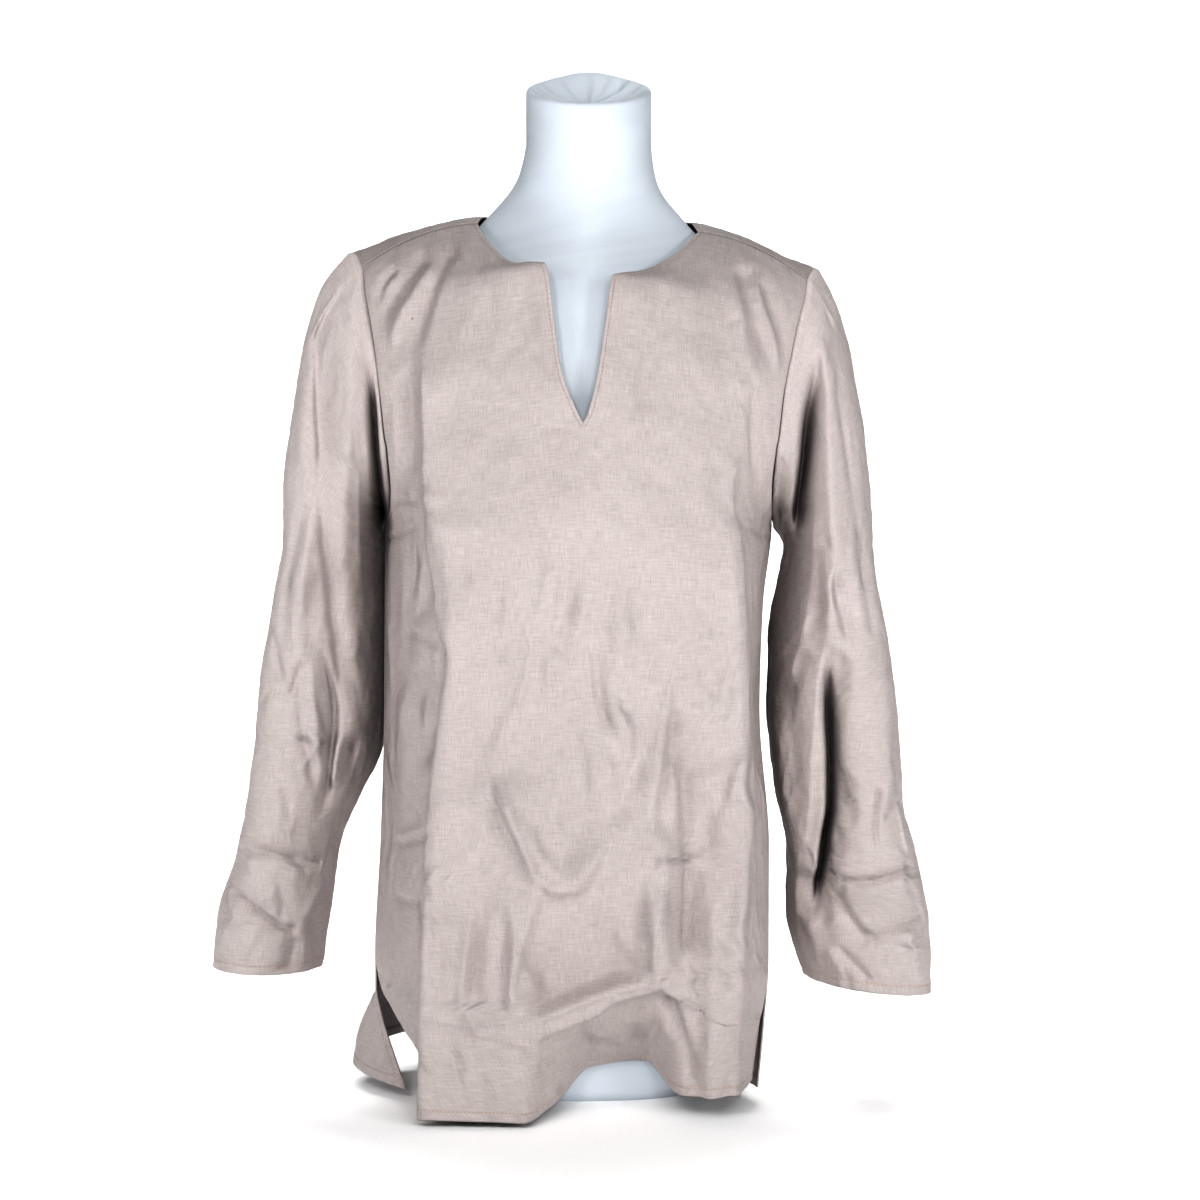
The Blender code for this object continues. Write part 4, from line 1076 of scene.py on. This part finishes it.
def sleeve(name, side, material, thread):
    """A sleeve, with its cuff's topstitching."""
    points = finished_sleeve(side)
    cuff = points[0]
    turned = turned_in(points, [(cuff, HEM_TURNING)])
    piece = cloth_object(name, [(points, cut_map(points, side), turned)], material, SLEEVE_SHADE)
    path = seam_path(cuff, outward_normals(points, side, closed=True)[0], side, HEM_TURNING)
    return piece, stitches(f"{name}_stitching", piece, [path], thread)


def form_rings(turn):
    """The form's rings, from its base to the slanted rim of its neck and into the gathered dish."""
    columns = table(FORM_COLUMNS, FORM)
    heights = np.concatenate([
        np.linspace(0, FORM_SHOWS, 81)[:-1], np.linspace(FORM_SHOWS, NECK_FOOT, 61),
    ])
    ahead = np.sin(turn) < 0
    rings = []
    for height in heights:
        row = row_at(columns, "z", height)
        # The back is drawn out into the shoulders less than the front is.
        power = np.where(ahead, 2 / row["roundness"], 2 / max(row["roundness"], 1.8))
        x = row["half"] * np.sign(np.cos(turn)) * np.abs(np.cos(turn)) ** power
        y = np.where(ahead, row["front"], row["back"]) * np.abs(np.sin(turn)) ** power
        rings.append(np.stack([x + row["shift"], y, 0 * turn + height], axis=1))
    foot = rings[-1]
    middle = np.array((FORM[-1][FORM_COLUMNS.index("shift")], 0, 0))
    neck = foot - middle
    point = RIM_POINT * np.exp(-(((turn - math.pi / 2) / RIM_POINT_WIDTH) ** 2))
    for t in np.linspace(0, 1, NECK_RINGS + 1)[1:-1]:
        ring = foot * (1, 1, 0)
        rim = NECK_TOP + neck[:, 1] * math.tan(NECK_TILT) + point
        ring[:, 2] = NECK_FOOT + (rim - NECK_FOOT) * t
        rings.append(ring)
    for share, sink in NECK_DISH:
        ring = neck * (share, share, 0)
        ring[:, 2] = NECK_TOP + ring[:, 1] * math.tan(NECK_TILT) - sink + point * share ** 3
        rings.append(ring + middle)
    rings.insert(0, rings[0] * (0, 0, 1))
    return np.array(rings)


def dress_form(material):
    """The form in its cover, which is gathered in the dish at the top of its neck."""
    turn = np.linspace(0, 2 * math.pi, FORM_STEPS + 1)
    points = form_rings(turn)
    # Padding under the cover rounds off every ring, and the cover pulls straight between them.
    start, end = COVER_STARTS, len(points) - NECK_RINGS - len(NECK_DISH) - 3
    for _ in range(COVER_PULLS):
        below, above = points[start - 1:end - 1], points[start + 1:end + 1]
        points[start:end] = (below + 2 * points[start:end] + above) / 4
    around = points[:, :-1]
    for _ in range(3):
        around = np.mean([np.roll(around, k, axis=1) for k in range(-4, 5)], axis=0)
    points = np.concatenate([around, around[:, :1]], axis=1)
    # The pleats are uneven, run to the dish's middle and die away at its rim.
    pleats = np.abs(np.sin(turn * 5.5 + 1.3 * np.sin(turn * 2))) - 0.5 + 0.35 * np.sin(turn * 17 + 2)
    for ring, (share, _) in zip(points[-len(NECK_DISH):], NECK_DISH):
        ring[:, 2] += PLEAT_DEPTH * smoothstep((1 - share) / 0.2) * smoothstep(share / 0.5) * pleats
    grid = (points, cut_map(points, 1), turned_in(points, []))
    return finish_mesh("form", sheet_mesh([grid]), material)


def linear(code):
    """An sRGB hex colour as linear red, green, blue and alpha."""
    values = [int(code[i : i + 2], 16) / 255 for i in (1, 3, 5)]
    return (*[v / 12.92 if v <= 0.04045 else ((v + 0.055) / 1.055) ** 2.4 for v in values], 1)


def add_node(tree, kind, inputs=None, stops=(), **settings):
    """A node with its settings, its colour stops, and its sockets set to values or linked."""
    node = tree.nodes.new(kind)
    for name, value in settings.items():
        setattr(node, name, value)
    for name, value in (inputs or {}).items():
        if isinstance(value, bpy.types.NodeSocket):
            tree.links.new(value, node.inputs[name])
        else:
            node.inputs[name].default_value = value
    for place, _ in stops[2:]:
        node.color_ramp.elements.new(place)
    for element, (place, code) in zip(node.color_ramp.elements if stops else (), stops):
        element.position = place
        element.color = linear(code)
    return node


def new_material(name, **sockets):
    """A material with these values on its shader, and its node tree and that shader."""
    material = bpy.data.materials.new(name)
    material.use_nodes = True
    shader = material.node_tree.nodes["Principled BSDF"]
    for socket, value in sockets.items():
        shader.inputs[socket.replace("_", " ")].default_value = value
    return material, material.node_tree, shader


def woven_linen():
    """Plain-woven slub linen: matt, with thick and thin threads that streak it both ways."""
    material, tree, shader = new_material("woven_slub_linen", Roughness=0.88, Specular_IOR_Level=0.25)
    shader.inputs["Sheen Weight"].default_value = 0.12
    shader.inputs["Sheen Roughness"].default_value = 0.5
    cloth = add_node(tree, "ShaderNodeUVMap", uv_map="cut").outputs["UV"]
    weave, slubs = linen_weave(tree, cloth)
    clear_of_row, on_turning = linen_edge(tree)
    plain = linen_color(tree, cloth, weave, slubs)
    # Painted shade: the row of stitches lies in a groove, and the cloth there is painted a little darker
    # and warmer.
    sewn = add_node(tree, "ShaderNodeMix", {
        "Factor": clear_of_row, "A": linear("#B7AAA4"), "B": plain,
    }, data_type="RGBA")
    tree.links.new(linen_shade(tree, sewn.outputs["Result"]), shader.inputs["Base Color"])
    relief = add_node(tree, "ShaderNodeMath", {0: weave, 1: 0.5, 2: slubs}, operation="MULTIPLY_ADD")
    threads = add_node(tree, "ShaderNodeBump", {
        "Height": relief.outputs[0], "Distance": 0.00022, "Strength": 0.9,
    })
    crease, depth = linen_creases(tree, cloth)
    creased = add_node(tree, "ShaderNodeBump", {
        "Height": crease, "Distance": depth, "Strength": 1.0, "Normal": threads.outputs["Normal"],
    })
    # The turned edge stands up half a millimetre, and its row of stitches is drawn in.
    edge = add_node(tree, "ShaderNodeMath", {
        0: clear_of_row, 1: 0.6, 2: on_turning,
    }, operation="MULTIPLY_ADD")
    ledge = add_node(tree, "ShaderNodeBump", {
        "Height": edge.outputs[0], "Distance": 0.0005, "Strength": 0.8,
        "Normal": creased.outputs["Normal"],
    })
    tree.links.new(ledge.outputs["Normal"], shader.inputs["Normal"])
    return material


def linen_weave(tree, cloth):
    """The height of the woven threads, and of the slubs in them."""
    # Slubs are thick stretches of one thread, about 1 mm wide and 10 to 40 mm long.
    streaks = []
    for scale in ((1100, 80, 1), (65, 1000, 1)):
        drawn_out = add_node(tree, "ShaderNodeMapping", {"Vector": cloth, "Scale": scale})
        streaks.append(add_node(tree, "ShaderNodeTexNoise", {
            "Vector": drawn_out.outputs["Vector"], "Scale": 1.0, "Detail": 2.0, "Roughness": 0.6,
        }).outputs["Fac"])
    slubs = add_node(tree, "ShaderNodeMath", {0: streaks[0], 1: streaks[1]}, operation="ADD")
    # The threads lie 0.5 mm apart, and are drawn 1 mm apart so that they show: bands are 0.314 m
    # apart at a scale of 1.
    waves = []
    for direction in ("X", "Y"):
        waves.append(add_node(tree, "ShaderNodeTexWave", {
            "Vector": cloth, "Scale": 314.0, "Distortion": 1.2, "Detail": 1.0, "Detail Scale": 0.4,
        }, wave_type="BANDS", bands_direction=direction).outputs["Fac"])
    weave = add_node(tree, "ShaderNodeMath", {0: waves[0], 1: waves[1]}, operation="MULTIPLY")
    return weave.outputs[0], slubs.outputs[0]


def linen_color(tree, cloth, weave, slubs):
    """Dusty pink-grey, paler on the thick threads and in patches, as linen takes dye unevenly."""
    patch = add_node(tree, "ShaderNodeTexNoise", {"Vector": cloth, "Scale": 16.0, "Detail": 3.0})
    tone = 0.01
    for source, share in ((slubs, 0.44), (weave, 0.10), (patch.outputs["Fac"], 0.10)):
        tone = add_node(
            tree, "ShaderNodeMath", {0: source, 1: share, 2: tone}, operation="MULTIPLY_ADD"
        ).outputs[0]
    stops = ((0.30, "#A79E9D"), (0.55, "#BCB4B2"), (0.80, "#CEC7C6"))
    return add_node(tree, "ShaderNodeValToRGB", {"Fac": tone}, stops).outputs["Color"]


def linen_edge(tree):
    """How clear of the row of stitches a place is, and how far in on the turned edge."""
    edge = add_node(tree, "ShaderNodeAttribute", attribute_name="turned", attribute_type="GEOMETRY")
    edge = edge.outputs["Fac"]
    away = add_node(tree, "ShaderNodeMath", {0: edge, 1: 1.0}, operation="SUBTRACT")
    away = add_node(tree, "ShaderNodeMath", {0: away.outputs[0]}, operation="ABSOLUTE")
    groove = add_node(tree, "ShaderNodeMapRange", {
        "Value": away.outputs[0], "From Min": 0.0, "From Max": 0.16, "To Min": 0.0, "To Max": 1.0,
    }, interpolation_type="SMOOTHSTEP")
    band = add_node(tree, "ShaderNodeMapRange", {
        "Value": edge, "From Min": 0.85, "From Max": 1.1, "To Min": 1.0, "To Max": 0.0,
    }, interpolation_type="SMOOTHSTEP")
    return groove.outputs["Result"], band.outputs["Result"]


def linen_shade(tree, color):
    """The linen's colour with painted shade where cloth lies close to cloth, and with its one fleck."""
    reach = add_node(
        tree, "ShaderNodeAttribute", attribute_name="shade_reach", attribute_type="GEOMETRY"
    )
    open_air = add_node(
        tree, "ShaderNodeAmbientOcclusion", {"Distance": reach.outputs["Fac"]}, samples=6
    )
    openness = add_node(tree, "ShaderNodeMapRange", {
        "Value": open_air.outputs["AO"], "From Min": 0.08, "From Max": 0.52,
    })
    # Painted shade: the colour goes to a warm dark brown where other cloth is near, in folds and between
    # the sleeves and the body.
    shaded = add_node(tree, "ShaderNodeMix", {
        "Factor": openness.outputs["Result"], "A": linear("#2C231F"), "B": color,
    }, data_type="RGBA")
    # One dark fleck of husk, 2 mm across, was spun into the cloth on the left chest. Depth counts
    # for a twentieth, so that the fleck is whole wherever the folds lie.
    place = add_node(tree, "ShaderNodeTexCoord").outputs["Object"]
    place = add_node(tree, "ShaderNodeVectorMath", {0: place, 1: (1, 0.05, 1)}, operation="MULTIPLY")
    beside = add_node(tree, "ShaderNodeVectorMath", {
        0: place.outputs["Vector"], 1: (-0.139, -0.0045, 0.656),
    }, operation="DISTANCE")
    clear = add_node(tree, "ShaderNodeMapRange", {
        "Value": beside.outputs["Value"], "From Min": 0.0009, "From Max": 0.0016,
    })
    return add_node(tree, "ShaderNodeMix", {
        "Factor": clear.outputs["Result"], "A": linear("#3F3532"), "B": shaded.outputs["Result"],
    }, data_type="RGBA").outputs["Result"]


def linen_creases(tree, cloth):
    """The height of small sharp creases all over, which washing leaves in linen, and their depth."""
    # They are longer up and down, and bend.
    drawn_out = add_node(tree, "ShaderNodeMapping", {"Vector": cloth, "Scale": (1.0, 0.55, 1.0)})
    drawn_out = drawn_out.outputs["Vector"]
    bend = add_node(tree, "ShaderNodeTexNoise", {"Vector": drawn_out, "Scale": 22.0, "Detail": 2.0})
    bend = add_node(tree, "ShaderNodeVectorMath", {
        0: bend.outputs["Color"], 1: (0.03, 0.03, 0),
    }, operation="MULTIPLY")
    bent = add_node(tree, "ShaderNodeVectorMath", {0: drawn_out, 1: bend.outputs["Vector"]})
    crease = add_node(tree, "ShaderNodeTexNoise", {
        "Vector": bent.outputs["Vector"], "Scale": 32.0, "Detail": 3.0, "Roughness": 0.55,
        "Lacunarity": 2.2,
    }, noise_type="RIDGED_MULTIFRACTAL")
    # They are shallow on the chest and deeper from the waist down.
    place = add_node(tree, "ShaderNodeTexCoord").outputs["Object"]
    height = add_node(tree, "ShaderNodeSeparateXYZ", {"Vector": place}).outputs["Z"]
    depth = add_node(tree, "ShaderNodeMapRange", {
        "Value": height, "From Min": 0.32, "From Max": 0.60, "To Min": 0.011, "To Max": 0.004,
    }, interpolation_type="SMOOTHSTEP")
    return crease.outputs["Fac"], depth.outputs["Result"]


def cotton_thread():
    """Spun cotton thread, in about the cloth's own colour and a little smoother than the linen."""
    material, tree, shader = new_material("spun_cotton_thread", Roughness=0.7)
    place = add_node(tree, "ShaderNodeTexCoord").outputs["Object"]
    # The twist is about 1 mm long.
    ply = add_node(tree, "ShaderNodeTexNoise", {"Vector": place, "Scale": 900.0, "Detail": 1.0})
    stops = ((0.35, "#C9BCB5"), (0.65, "#DDD2CC"))
    color = add_node(tree, "ShaderNodeValToRGB", {"Fac": ply.outputs["Fac"]}, stops)
    tree.links.new(color.outputs["Color"], shader.inputs["Base Color"])
    return material


def knit_jersey():
    """White cotton jersey pulled tight over the form: matt, with a faint upright rib."""
    material, tree, shader = new_material("knit_cotton_jersey", Roughness=0.75, Specular_IOR_Level=0.3)
    shader.inputs["Sheen Weight"].default_value = 0.1
    cloth = add_node(tree, "ShaderNodeUVMap", uv_map="cut").outputs["UV"]
    # The ribs are 0.8 mm apart, drawn 1.2 mm apart so that they show.
    rib = add_node(tree, "ShaderNodeTexWave", {
        "Vector": cloth, "Scale": 262.0, "Distortion": 0.6, "Detail": 1.0,
    }, wave_type="BANDS", bands_direction="X").outputs["Fac"]
    cloud = add_node(tree, "ShaderNodeTexNoise", {"Vector": cloth, "Scale": 12.0, "Detail": 3.0})
    tone = add_node(
        tree, "ShaderNodeMath", {0: rib, 1: 0.3, 2: cloud.outputs["Fac"]}, operation="MULTIPLY_ADD"
    )
    stops = ((0.35, "#B2B8BF"), (0.9, "#BFC5CB"))
    color = add_node(tree, "ShaderNodeValToRGB", {"Fac": tone.outputs[0]}, stops)
    tree.links.new(color.outputs["Color"], shader.inputs["Base Color"])
    bump = add_node(tree, "ShaderNodeBump", {"Height": rib, "Distance": 0.0002, "Strength": 0.5})
    tree.links.new(bump.outputs["Normal"], shader.inputs["Normal"])
    return material


def matt_paper():
    """Seamless white background paper: matt, with a barely visible grain."""
    material, tree, shader = new_material("seamless_white_paper", Roughness=0.95, Specular_IOR_Level=0.1)
    place = add_node(tree, "ShaderNodeTexCoord").outputs["Object"]
    grain = add_node(tree, "ShaderNodeTexNoise", {"Vector": place, "Scale": 400.0, "Detail": 2.0})
    stops = ((0.3, "#F7F7F7"), (0.7, "#FBFBFB"))
    color = add_node(tree, "ShaderNodeValToRGB", {"Fac": grain.outputs["Fac"]}, stops)
    tree.links.new(color.outputs["Color"], shader.inputs["Base Color"])
    return material


def backdrop(material):
    """A sheet of paper that lies on the floor and sweeps up behind the form. Sizes are in metres."""
    width, length, floor, ahead, bend = 9, 8.4, 5.2, 2.6, 1.0
    mesh = bmesh.new()
    made = bmesh.ops.create_grid(mesh, x_segments=24, y_segments=60, size=0.5)["verts"]
    for vertex in made:
        x, run = vertex.co.x * width, (vertex.co.y + 0.5) * length
        if run < floor:
            y, z = run - ahead, 0
        elif run < floor + bend * math.pi / 2:
            angle = (run - floor) / bend
            y, z = floor - ahead + bend * math.sin(angle), bend * (1 - math.cos(angle))
        else:
            y, z = floor - ahead + bend, bend + run - floor - bend * math.pi / 2
        vertex.co = (x, y, z)
    bmesh.ops.recalc_face_normals(mesh, faces=mesh.faces)
    piece = finish_mesh("backdrop", mesh, material)
    return piece


def aim(item, place, target):
    """Puts a camera or a light in its place and points it at its target."""
    item.location = place
    item.rotation_euler = (Vector(target) - Vector(place)).to_track_quat("-Z", "Y").to_euler()


def soft_light(name, place, target, size, power, lit=()):
    """A softbox. One that lights only some things is kept to them, as flags and grids do."""
    light = bpy.data.lights.new(name, "AREA")
    light.shape = "RECTANGLE"
    light.size, light.size_y = size
    light.energy = power
    item = bpy.data.objects.new(name, light)
    bpy.context.scene.collection.objects.link(item)
    aim(item, place, target)
    if lit:
        alone = bpy.data.collections.new(f"{name}_only")
        for thing in lit:
            alone.objects.link(thing)
        item.light_linking.receiver_collection = alone


def softboxes(paper, form, panels, left, right):
    """The studio's lights: name, place, target, size in metres, watts, and what each is kept to."""
    blouse = (0, -0.1, 0.45)
    for light in (
        # Two small boxes in front model the folds, and one to each side fills the near sleeve.
        ("key_left", (-0.5, -2.4, 1.4), blouse, (0.25, 0.25), 10.5),
        ("key_right", (0.45, -2.45, 1.2), blouse, (0.25, 0.25), 8.3),
        ("fill_left", (-1.6, -1.9, 0.9), blouse, (0.6, 0.6), 10, [paper, form, *panels, *left]),
        ("fill_right", (1.6, -1.9, 0.9), blouse, (0.6, 0.6), 15, [paper, form, *panels, *right]),
        # One from behind lights the back, for whoever walks round.
        ("back_light", (0, 1.3, 2.4), (0, 0.1, 0.5), (1.0, 0.6), 12, [form, *panels, *left, *right]),
        # Two burn the paper out to white.
        ("background_light", (0, 1.2, 2.7), (0, 2.8, 0.2), (3.0, 0.8), 100, [paper]),
        ("floor_light", (0, -2.2, 1.6), (0, -0.6, 0), (3.0, 1.0), 27, [paper]),
        # The rest lift the sleeves, the form's neck and its base.
        ("sleeve_light", (-0.25, -0.9, 1.75), (0, -0.1, 0.5), (0.4, 0.4), 7.5, [*left, *right]),
        ("form_light", (0.05, -1.2, 2.0), (0, 0, 0.7), (0.5, 0.5), 10, [form]),
        ("base_light", (0.05, -0.75, 0.04), (0.03, 0, 0.03), (0.3, 0.05), 1.5, [form]),
    ):
        soft_light(*light)


def surroundings():
    """White walls, which look pale and give only a little light of their own."""
    world = bpy.data.worlds.new("studio_white")
    world.use_nodes = True
    tree = world.node_tree
    dim, pale = (
        add_node(tree, "ShaderNodeBackground", {"Color": linear("#F4F6FA"), "Strength": strength})
        for strength in (0.01, 1.0)
    )
    seen = add_node(tree, "ShaderNodeLightPath").outputs["Is Camera Ray"]
    walls = add_node(tree, "ShaderNodeMixShader", {0: seen, 1: dim.outputs[0], 2: pale.outputs[0]})
    tree.links.new(walls.outputs[0], tree.nodes["World Output"].inputs["Surface"])
    bpy.context.scene.world = world


def look_at_the_front():
    """The camera in front of the blouse, a little above its middle, and how the picture is toned."""
    scene = bpy.context.scene
    scene.view_settings.view_transform = "Standard"
    scene.view_settings.look = "Very High Contrast"
    camera = bpy.data.cameras.new("camera")
    camera.lens = 93.18
    camera.sensor_width = 36
    item = bpy.data.objects.new("camera", camera)
    scene.collection.objects.link(item)
    aim(item, (0.0134, -2.6, 0.638), (0.0134, 0, 0.421))
    scene.camera = item


LINEN, COTTON = woven_linen(), cotton_thread()
# Each piece of cloth and its stitching, by the node that the cloth stands for.
pieces = {
    "front": panel("blouse_front", -1, LINEN, COTTON),
    "back": panel("blouse_back", 1, LINEN, COTTON),
    "sleeve_left": sleeve("left_sleeve", -1, LINEN, COTTON),
    "sleeve_right": sleeve("right_sleeve", 1, LINEN, COTTON),
}
form = dress_form(knit_jersey())
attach(form, "root")
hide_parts("dress_form")
for node, (cloth, thread) in pieces.items():
    for piece in (cloth, thread):
        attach(piece, "root")
    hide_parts(node)
paper = backdrop(matt_paper())
look_at_the_front()
panels = [*pieces["front"], *pieces["back"]]
softboxes(paper, form, panels, pieces["sleeve_left"], pieces["sleeve_right"])
surroundings()
